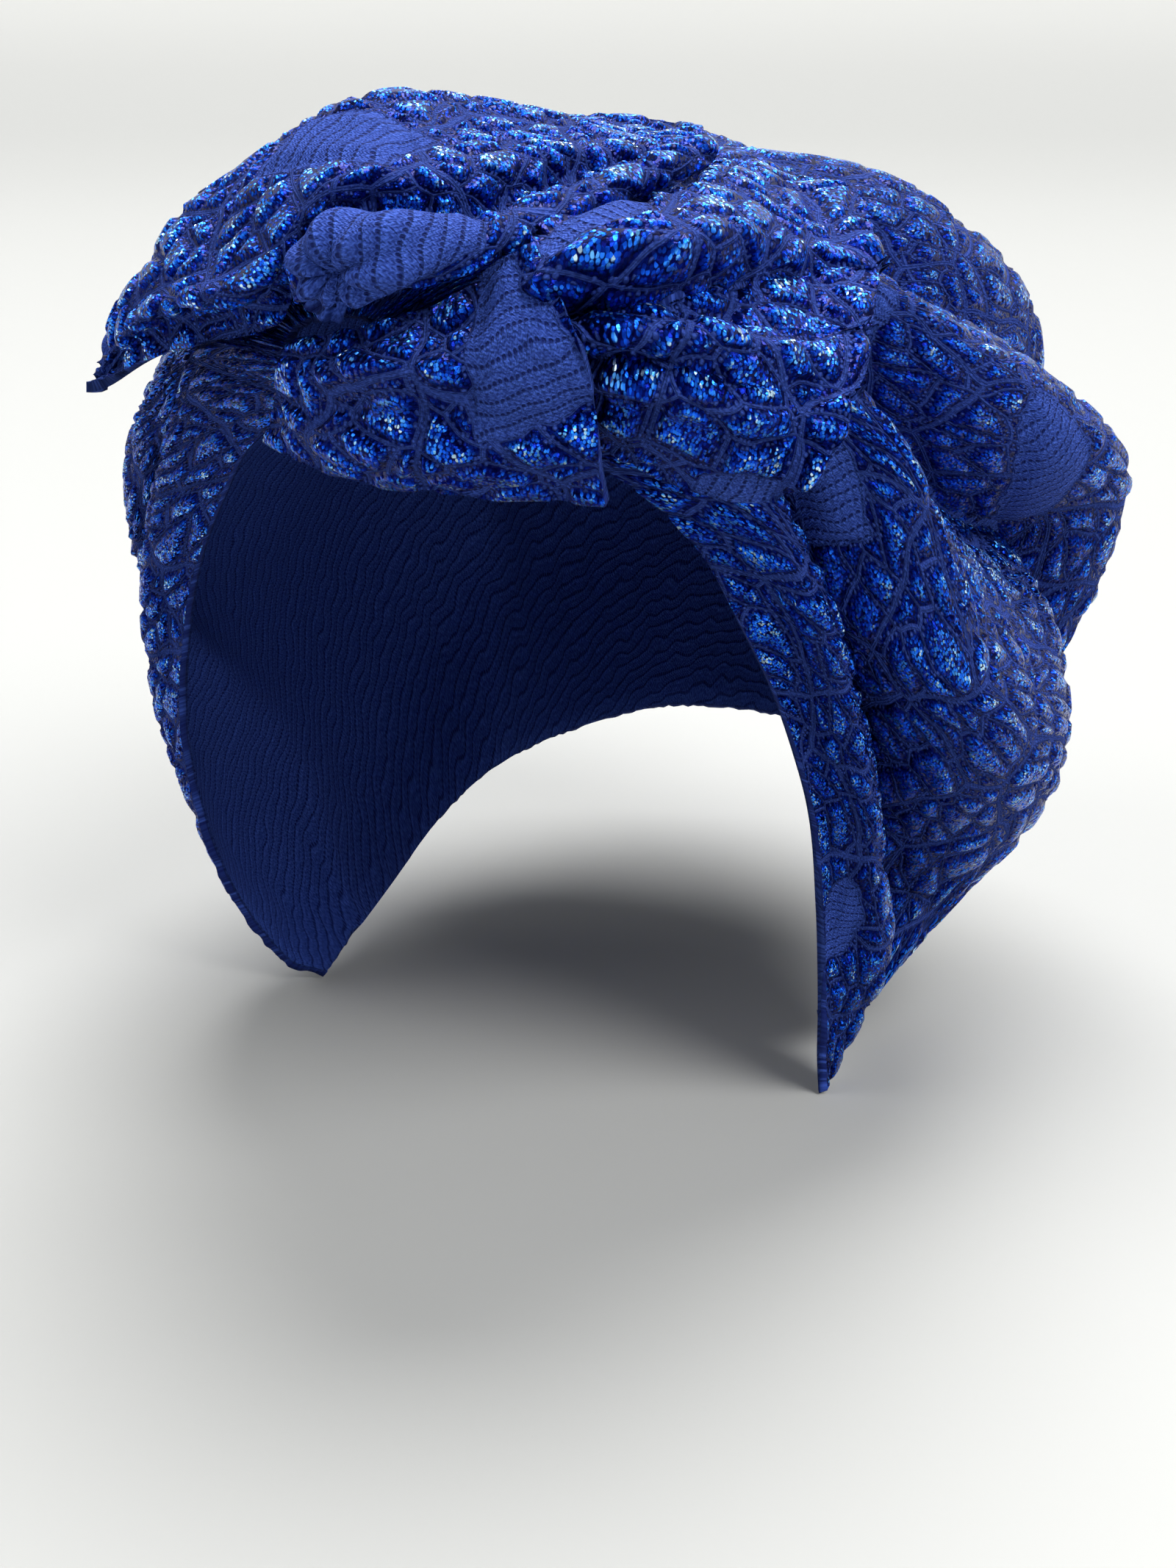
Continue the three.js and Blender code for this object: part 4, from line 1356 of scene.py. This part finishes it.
@dataclass(frozen=True)
class WingSection:
    """One section of a wing, from its low edge through two places to its top edge. See the CAD source."""

    along: float
    low: Place
    lower: Place
    upper: Place
    top: Place


@dataclass(frozen=True)
class Pleat:
    """One pleat line of a wing. See the CAD source."""

    root: float
    end: float
    rise: float
    lean: float = 0


UPPER_WING = (
    WingSection(0.0, (-0.63, -0.94, 0.2), (-0.63, -0.93, 0.23), (-0.64, -0.9, 0.25), (-0.65, -0.87, 0.26)),
    WingSection(0.14, (-0.44, -1.0, 0.35), (-0.44, -1.04, 0.47), (-0.55, -0.94, 0.48), (-0.66, -0.77, 0.43)),
    WingSection(0.3, (-0.27, -1.03, 0.45), (-0.29, -1.09, 0.59), (-0.45, -0.94, 0.67), (-0.58, -0.69, 0.57)),
    WingSection(0.42, (-0.1, -1.05, 0.54), (-0.13, -1.12, 0.67), (-0.4, -0.88, 0.85), (-0.55, -0.58, 0.74)),
    WingSection(0.52, (-0.05, -1.03, 0.73), (-0.06, -1.07, 0.89), (-0.3, -0.83, 1.02), (-0.49, -0.43, 0.86)),
    WingSection(0.64, (0.08, -1.02, 0.81), (0.03, -1.01, 1.0), (-0.13, -0.73, 1.19), (-0.32, -0.27, 0.99)),
    WingSection(0.78, (0.25, -0.94, 0.82), (0.19, -0.87, 1.0), (0.02, -0.56, 1.19), (-0.13, -0.1, 0.99)),
    WingSection(0.9, (0.32, -0.65, 0.94), (0.27, -0.58, 1.04), (0.15, -0.35, 1.11), (0.05, 0.01, 0.97)),
    WingSection(1.0, (0.41, -0.31, 1.01), (0.37, -0.25, 1.02), (0.3, -0.15, 1.0), (0.22, 0.03, 0.95)),
)
FRONT_TAIL = (
    WingSection(0.0, (-0.22, -0.95, 0.06), (-0.15, -1.03, 0.24), (-0.11, -1.06, 0.38), (-0.09, -1.05, 0.46)),
    WingSection(0.2, (-0.07, -1.01, 0.01), (0.0, -1.11, 0.21), (0.05, -1.13, 0.41), (0.03, -1.08, 0.51)),
    WingSection(0.45, (0.15, -1.04, -0.01), (0.22, -1.14, 0.21), (0.23, -1.16, 0.45), (0.18, -1.08, 0.59)),
    WingSection(0.75, (0.36, -1.01, -0.01), (0.42, -1.12, 0.24), (0.41, -1.12, 0.53), (0.33, -1.03, 0.67)),
    WingSection(1.0, (0.52, -1.0, -0.01), (0.54, -1.07, 0.26), (0.52, -1.08, 0.53), (0.44, -1.02, 0.73)),
)
SIDE_WING = (
    WingSection(0.0, (0.27, -1.02, 0.52), (0.28, -1.04, 0.56), (0.27, -1.04, 0.59), (0.25, -1.01, 0.63)),
    WingSection(0.25, (0.41, -0.97, 0.25), (0.42, -1.01, 0.47), (0.42, -1.0, 0.64), (0.35, -0.9, 0.77)),
    WingSection(0.5, (0.54, -0.89, 0.06), (0.61, -0.99, 0.45), (0.6, -0.96, 0.74), (0.45, -0.7, 0.87)),
    WingSection(0.75, (0.66, -0.84, -0.01), (0.75, -0.88, 0.35), (0.68, -0.66, 0.7), (0.43, -0.24, 1.0)),
    WingSection(1.0, (0.76, -0.78, -0.02), (0.82, -0.7, 0.27), (0.74, -0.37, 0.58), (0.53, 0.0, 0.84)),
)
UPPER_PLEATS = (
    Pleat(0.0, 0.0, 0.25), Pleat(0.16, 0.14, -0.3), Pleat(0.3, 0.32, 0.3),
    Pleat(0.5, 0.52, -0.15), Pleat(0.74, 0.78, 0.2), Pleat(1.0, 1.0, 0.0),
)
FRONT_PLEATS = (
    Pleat(0.0, 0.0, 0.0), Pleat(0.24, 0.22, 0.3), Pleat(0.42, 0.4, -0.2),
    Pleat(0.62, 0.66, 0.35), Pleat(0.84, 0.86, -0.1), Pleat(1.0, 1.0, 0.0),
)
SIDE_PLEATS = (
    Pleat(0.0, 0.0, 0.0), Pleat(0.12, 0.12, 0.2), Pleat(0.21, 0.21, 0.1), Pleat(0.29, 0.28, 0.55),
    Pleat(0.345, 0.34, -0.1), Pleat(0.43, 0.43, 0.65, 0.2), Pleat(0.52, 0.52, -1.3), Pleat(0.64, 0.64, -1.3),
    Pleat(0.72, 0.72, 1.0, -0.7), Pleat(0.86, 0.86, 0.7), Pleat(1.0, 1.0, 0.0),
)


@dataclass
class BowWing:
    """A wing of the bow: a pleated sheet laid on the layers below."""

    node: str
    sections: tuple[WingSection, ...]
    pleats: tuple[Pleat, ...]
    gather: float
    layers: list[Layer]
    leaves: list[MatteLeaf]
    columns: int
    rows: int
    flat_size: tuple[float, float]
    rests_on: list[str]
    pleat_rise: float = 9
    pleat_growth: float = 0.3
    pleat_fade: float = 0.6
    crease: float = 0.8
    edge_steepness: float = 8
    loft: float = 0
    flare: float = 0
    flare_start: float = 0.8
    lift_steps: int = 56
    lift_blurs: int = 6
    stretch: tuple[float, float] = WING_STRETCH
    lifts: Array | None = None

    def form(self, across: Array, along: Array) -> Array:
        """Gives the wing without its pleats.

        Args:
            across: From its low edge (0) to its top edge (1).
            along: From its first section (0) to its last (1).

        Returns:
            Places.
        """
        lines = np.array([[REACH.place(place) for place in (section.low, section.lower, section.upper, section.top)]
                          for section in self.sections])
        onward = weights([section.along for section in self.sections], along)
        over = weights([0, 1 / 3, 2 / 3, 1], across)
        return np.einsum("...s,...l,slk->...k", onward, over, lines, optimize=True)

    def over_pleats(self, numbers: list[float], across: Array, along: Array) -> Array:
        """Spreads one number of each pleat line over the wing, times how far the pleats have grown.

        Args:
            numbers: One number for each pleat line.
            across: From the low edge (0) to the top edge (1).
            along: From the first section (0) to the last (1).

        Returns:
            The number at each place.
        """
        reach = np.abs(along - self.gather) / max(self.gather, 1 - self.gather)
        roots = np.array([pleat.root for pleat in self.pleats])
        ends = np.array([pleat.end for pleat in self.pleats])
        values = np.array(numbers)
        lines = roots + (ends - roots) * reach[..., None]
        index = np.clip((across[..., None] > lines[..., 1:-1]).sum(-1), 0, len(self.pleats) - 2)
        start = np.take_along_axis(lines, index[..., None], -1)[..., 0]
        end = np.take_along_axis(lines, index[..., None] + 1, -1)[..., 0]
        share = ease((across - start) / (end - start))
        value = values[index] * (1 - share) + values[index + 1] * share
        return value * self.pleat_rise * ease(reach / self.pleat_growth) * (1 - self.pleat_fade * ease(reach))

    def pleated(self, across: Array, along: Array) -> Array:
        """Gives the wing with its pleats, before it is laid on the layers below.

        Args:
            across: From its low edge (0) to its top edge (1).
            along: From its first section (0) to its last (1).

        Returns:
            Places.
        """
        up = self.form(np.minimum(across + STEP, 1), along) - self.form(np.maximum(across - STEP, 0), along)
        onward = self.form(across, np.minimum(along + STEP, 1)) - self.form(across, np.maximum(along - STEP, 0))
        out = unit(np.cross(onward, up))
        small = waves(across * 5 + 3, along * 6 + 1, 21 + len(self.node)) * self.crease
        rise = self.over_pleats([pleat.rise for pleat in self.pleats], across, along) + small
        lean = self.over_pleats([pleat.lean for pleat in self.pleats], across, along)
        return self.form(across, along) + out * rise[..., None] + unit(up) * lean[..., None]

    def face(self, across: Array, along: Array) -> Array:
        """Gives the wing's outer face, laid on the layers below.

        Args:
            across: From its low edge (0) to its top edge (1).
            along: From its first section (0) to its last (1).

        Returns:
            Places.
        """
        if self.lifts is None:
            shares = np.meshgrid(*[np.linspace(0, 1, self.lift_steps + 1)] * 2, indexing="ij")
            plain = self.pleated(*shares)
            lifts = TOUCH.laid_on(plain, self.layers) - plain
            for _ in range(self.lift_blurs):
                wide = np.pad(lifts, ((1, 1), (1, 1), (0, 0)), "edge")
                lifts = lifts * 0.5 + (wide[2:, 1:-1] + wide[:-2, 1:-1] + wide[1:-1, 2:] + wide[1:-1, :-2]) * 0.125
            self.lifts = lifts
        column, row = across * self.lift_steps, along * self.lift_steps
        i = np.clip(np.floor(column).astype(int), 0, self.lift_steps - 1)
        j = np.clip(np.floor(row).astype(int), 0, self.lift_steps - 1)
        right, down = (column - i)[..., None], (row - j)[..., None]
        start = self.lifts[i, j] * (1 - down) + self.lifts[i, j + 1] * down
        end = self.lifts[i + 1, j] * (1 - down) + self.lifts[i + 1, j + 1] * down
        laid = self.pleated(across, along) + start * (1 - right) + end * right
        edge = ease(np.minimum(across, 1 - across) * self.edge_steepness)
        flare = self.flare * ease((along - self.flare_start) / (1 - self.flare_start))
        rise = self.loft * edge * ease(along * self.edge_steepness) + flare * edge
        return laid + normals(laid) * rise[..., None]

    def build(self, wardrobe: Wardrobe) -> bpy.types.Object:
        """Args:
            wardrobe: Shared finishes and relief.

        Returns:
            The piece.
        """
        grid = sampled(f"{self.node}_cloth", self.face, self.columns, self.rows, (30, 36), self.leaves,
                       self.stretch)
        piece = put_on(grid.name, grid.mesh(), wardrobe, wardrobe.glitter)
        declare(piece, self.node, Slot.GLITTER_KNIT, self.flat_size, Hold.FOLDED, self.rests_on)
        return piece


@dataclass(frozen=True)
class WrapSection:
    """One section of the knot wrap. See the CAD source."""

    along: float
    centre: Place
    high: float
    deep: float
    start: float
    end: float


WRAP_SECTIONS = (
    WrapSection(0.0, (-0.01, -1.09, 0.7), 0.5, 0.5, 45, 240),
    WrapSection(0.12, (0.07, -1.13, 0.735), 0.76, 0.72, 40, 240),
    WrapSection(0.28, (0.19, -1.15, 0.77), 0.68, 0.66, 35, 235),
    WrapSection(0.42, (0.27, -1.11, 0.795), 0.5, 0.56, 35, 230),
    WrapSection(0.55, (0.32, -1.04, 0.83), 0.37, 0.5, 35, 220),
    WrapSection(0.7, (0.37, -0.91, 0.89), 0.31, 0.44, 35, 215),
    WrapSection(0.84, (0.41, -0.7, 0.95), 0.3, 0.4, 35, 210),
    WrapSection(1.0, (0.44, -0.41, 1.025), 0.28, 0.36, 40, 200),
)


@dataclass
class KnotWrap:
    """The narrow rolled band that wraps over the gather."""

    roll: float = 11.5
    columns: int = 60
    rows: int = 210
    matte_share: float = 0.5
    dimple: float = 5.5
    dimple_place: tuple[float, float] = (0.18, 0.17)
    dimple_spread: tuple[float, float] = (0.13, 0.05)
    crease: float = 1.8
    creases: int = 7
    flat_size: tuple[float, float] = (0.028, 0.085)

    def face(self, around: Array, along: Array) -> Array:
        """Gives the wrap's outer face.

        Args:
            around: From its cross section's start (0) to its end (1).
            along: From its round left end (0) to its thin right end (1).

        Returns:
            Places.
        """
        stations = [section.along for section in WRAP_SECTIONS]
        rows = np.array([[*REACH.place(s.centre), s.high * self.roll, s.deep * self.roll, s.start, s.end]
                         for s in WRAP_SECTIONS])
        numbers = weights(stations, along) @ rows
        ahead = weights(stations, np.minimum(along + STEP, 1)) @ rows
        behind = weights(stations, np.maximum(along - STEP, 0)) @ rows
        front = np.stack([ahead[..., 1] - behind[..., 1], behind[..., 0] - ahead[..., 0], np.zeros_like(along)], -1)
        x, y, z, high, deep, start, end = np.moveaxis(numbers, -1, 0)
        angle = np.radians(start + (end - start) * around)
        off = [(share - middle) / spread
               for share, middle, spread in zip((around, along), self.dimple_place, self.dimple_spread)]
        far = np.hypot(*off)
        spokes = np.cos(self.creases * np.arctan2(*off)) * far * np.exp(-far * 0.6)
        shrink = 1 + (self.crease * spokes - self.dimple * np.exp(-far**2)) / np.maximum(high + deep, 1) * 2
        point = np.stack([x, y, z - high * shrink * np.cos(angle)], -1)
        return point + unit(front) * (deep * shrink * np.sin(angle))[..., None]

    def build(self, wardrobe: Wardrobe) -> bpy.types.Object:
        """Args:
            wardrobe: Shared finishes and relief.

        Returns:
            The piece.
        """
        leaf = MatteLeaf((0.5, 0.0), (0.5, self.matte_share), (60.0, 30.0, 3.0))
        grid = sampled("knot_wrap_cloth", self.face, self.columns, self.rows, (16, 40), [leaf])
        piece = put_on(grid.name, grid.mesh(), wardrobe, wardrobe.matte)
        declare(piece, "knot_wrap", Slot.MATTE_KNIT, self.flat_size, Hold.GATHERED, ["upper_wing_cloth"])
        return piece


@dataclass
class KnotCore:
    """The short bundle of gathered cloth inside the wrap's left end."""

    radius: float = 3.7
    pleat: float = 0.7
    pleats: int = 6
    sides: int = 72
    steps: int = 30
    top: Place = (0.04, -1.08, 0.69)
    foot: Place = (0.0, -1.07, 0.57)
    waist: float = 0.12
    flat_size: tuple[float, float] = (0.011, 0.016)

    def build(self, wardrobe: Wardrobe) -> bpy.types.Object:
        """Args:
            wardrobe: Shared finishes and relief.

        Returns:
            The piece.
        """
        top, foot = REACH.place(self.top), REACH.place(self.foot)
        axis = unit(top - foot)
        side = unit(np.cross([0.0, 1.0, 0.0], axis))
        front = np.cross(axis, side)
        angle = np.arange(self.sides) * math.tau / self.sides
        points = [foot, top]
        for step in range(self.steps + 1):
            share = step / self.steps
            radius = self.radius + self.pleat * np.cos(self.pleats * angle + share)
            radius = radius * (1 - self.waist * math.sin(math.pi * share))
            ring = foot + (top - foot) * share
            points += list(ring + side * (radius * np.cos(angle))[:, None] + front * (radius * np.sin(angle))[:, None])
        faces: list[list[int]] = []
        for corner in range(self.sides):
            after = (corner + 1) % self.sides
            first, last = 2, 2 + self.steps * self.sides
            faces += [[0, first + after, first + corner], [1, last + corner, last + after]]
            for step in range(self.steps):
                low, high = 2 + step * self.sides, 2 + (step + 1) * self.sides
                faces.append([low + corner, low + after, high + after, high + corner])
        mesh = bpy.data.meshes.new("knot_core_cloth")
        mesh.from_pydata((np.array(points) * MM).tolist(), [], faces)
        mesh.polygons.foreach_set("use_smooth", np.ones(len(faces), bool))
        layer = mesh.uv_layers.new(name=CLOTH_MAP)
        for loop in mesh.loops:
            place = np.array(mesh.vertices[loop.vertex_index].co)
            layer.data[loop.index].uv = (float(place @ side), float(place @ axis))
        matte = np.tile([0.0, 0.0, 10.0], len(points)).astype(np.float32)
        mesh.attributes.new(LEAF, "FLOAT_VECTOR", "POINT").data.foreach_set("vector", matte)
        mesh.materials.append(wardrobe.matte)
        piece = bpy.data.objects.new(mesh.name, mesh)
        bpy.context.scene.collection.objects.link(piece)
        declare(piece, "knot_core", Slot.MATTE_KNIT, self.flat_size, Hold.GATHERED, ["knot_wrap_cloth"])
        return piece


# ---- Studio ----


@dataclass(frozen=True)
class Studio:
    """The pale floor, the soft light and the camera at the photograph's angle."""

    azimuth: float = 26.0
    elevation: float = 20.0
    distance: float = 0.52
    lens: float = 51.45
    sensor: float = 36.0
    shift_up: float = -0.092
    floor_gap: float = 0.0005
    floor_half: float = 6.0
    backdrop: float = 2.4
    curve: float = 3.0
    floor_colour: Colour = (0.365, 0.365, 0.352, 1)
    glow: float = 0.25
    glow_height: float = 0.3
    glow_colour: Colour = (1.0, 1.0, 0.95, 1)

    def camera(self) -> None:
        """Adds the camera and makes it the scene's."""
        turn, lift = math.radians(self.azimuth), math.radians(self.elevation)
        back = Vector((math.sin(turn) * math.cos(lift), -math.cos(turn) * math.cos(lift), math.sin(lift)))
        right = Vector((math.cos(turn), math.sin(turn), 0))
        up = back.cross(right)
        data = bpy.data.cameras.new("camera")
        data.lens = self.lens
        data.sensor_width = self.sensor
        data.clip_start = 0.01
        camera = bpy.data.objects.new("camera", data)
        bpy.context.scene.collection.objects.link(camera)
        place = up * self.shift_up + back * self.distance
        rows = [(right[i], up[i], back[i], place[i]) for i in range(3)]
        camera.matrix_world = Matrix((*rows, (0, 0, 0, 1)))
        bpy.context.scene.camera = camera

    def floor(self, lowest: float) -> None:
        """Adds a pale floor that curves up into a backdrop behind the object.

        Args:
            lowest: Height of the object's lowest point in metres.
        """
        level = lowest - self.floor_gap
        profile = [(-self.floor_half, level)]
        for step in range(13):
            turn = step / 12 * math.pi / 2
            profile.append((self.backdrop + self.curve * math.sin(turn), level + self.curve * (1 - math.cos(turn))))
        profile.append((self.backdrop + self.curve, level + self.floor_half))
        turn = math.radians(self.azimuth)
        right, away = Vector((math.cos(turn), math.sin(turn), 0)), Vector((-math.sin(turn), math.cos(turn), 0))
        points = [right * side + away * reach + Vector((0, 0, height))
                  for reach, height in profile for side in (-self.floor_half, self.floor_half)]
        faces = [(2 * i, 2 * i + 1, 2 * i + 3, 2 * i + 2) for i in range(len(profile) - 1)]
        mesh = bpy.data.meshes.new("floor")
        mesh.from_pydata([tuple(point) for point in points], [], faces)
        mesh.polygons.foreach_set("use_smooth", [True] * len(faces))
        material = bpy.data.materials.new("pale paper")
        material.use_nodes = True
        shader = material.node_tree.nodes["Principled BSDF"]
        shader.inputs["Base Color"].default_value = self.floor_colour
        shader.inputs["Roughness"].default_value = 0.9
        shader.inputs["Emission Color"].default_value = self.glow_colour
        wiring = Wiring(material.node_tree)
        # Painted light: the backdrop glows, from nothing at the floor to glow at glow_height above it, so it is
        # brighter towards the top.
        height = wiring.split(wiring.node("ShaderNodeTexCoord").outputs["Object"])[2]
        glow = wiring.rise(height, level, level + self.glow_height, 0.0, self.glow)
        wiring.feed(shader.inputs["Emission Strength"], glow)
        mesh.materials.append(material)
        floor = bpy.data.objects.new("floor", mesh)
        bpy.context.scene.collection.objects.link(floor)
        floor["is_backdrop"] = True

    def light(self, name: str, azimuth: float, elevation: float, strength: float, softness: float) -> None:
        """Adds a soft light from far away.

        Args:
            name: Its name.
            azimuth: Degrees round from the front (-Y) towards +X.
            elevation: Degrees up.
            strength: Its strength in watts per square metre.
            softness: How many degrees it spans.
        """
        data = bpy.data.lights.new(name, "SUN")
        data.energy = strength
        data.angle = math.radians(softness)
        turn, lift = math.radians(azimuth), math.radians(elevation)
        way = Vector((math.sin(turn) * math.cos(lift), -math.cos(turn) * math.cos(lift), math.sin(lift)))
        lamp = bpy.data.objects.new(name, data)
        lamp.rotation_euler = way.to_track_quat("Z", "Y").to_euler()
        bpy.context.scene.collection.objects.link(lamp)

    def build(self, lowest: float) -> None:
        """Builds the whole studio.

        Args:
            lowest: Height of the object's lowest point in metres.
        """
        scene = bpy.context.scene
        scene.view_settings.view_transform = "Standard"
        world = bpy.data.worlds.new("soft room")
        world.use_nodes = True
        world.node_tree.nodes["Background"].inputs["Color"].default_value = (0.86, 0.9, 0.96, 1)
        world.node_tree.nodes["Background"].inputs["Strength"].default_value = 0.42
        scene.world = world
        self.camera()
        self.floor(lowest)
        self.light("window above", 190, 62, 5.8, 45)
        self.light("window left", -50, 45, 0.7, 30)
        self.light("window right", 74, 46, 2.9, 35)


def main() -> None:
    """Builds the turban's pieces in order and reports each."""
    logging.basicConfig(level=logging.INFO, format="%(name)s %(relativeCreated)d: %(message)s")
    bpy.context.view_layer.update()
    wardrobe = Wardrobe()
    cap = CrownCap()
    cap_layer = Layer.of(cap.envelope)
    side = BowWing("side_wing", SIDE_WING, SIDE_PLEATS, 0, [cap_layer],
                   [MatteLeaf((0.76, 0.28), (0.93, 0.48), (1.5, 5.0, 4.0)),
                    MatteLeaf((0.04, 0.68), (0.03, 0.95), (2.0, 5.0, 4.0))],
                   171, 171, (0.085, 0.1), ["crown_cap_cloth"], pleat_rise=12, pleat_fade=0.85,
                   loft=1.5, flare=5.0, flare_start=0.88)
    side_layer = Layer.of(side.face, 48, 30)
    front = BowWing("front_tail", FRONT_TAIL, FRONT_PLEATS, 0, [cap_layer, side_layer],
                    [MatteLeaf((1.0, 0.85), (0.36, 0.83), (3.5, 8.5, 14.0))],
                    96, 192, (0.055, 0.07), ["side_wing_cloth", "crown_cap_cloth"])
    upper = BowWing("upper_wing", UPPER_WING, UPPER_PLEATS, 0.5, [cap_layer, side_layer],
                    [MatteLeaf((0.62, 0.55), (0.42, 0.72), (9.0, 10.5, 9.0)),
                     MatteLeaf((0.5, 0.0), (0.5, 0.035), (12.0, 12.0, 12.0))],
                    156, 252, (0.1, 0.15), ["crown_cap_cloth"], stretch=(1.08, 1.3))
    builders = (cap, side, front, upper, KnotWrap(), KnotCore())
    for builder in builders:
        piece = builder.build(wardrobe)
        log.info("%s: %d faces", piece.name, len(piece.data.polygons))
    Studio().build(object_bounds()[0][2])


if __name__ == "__main__":
    main()
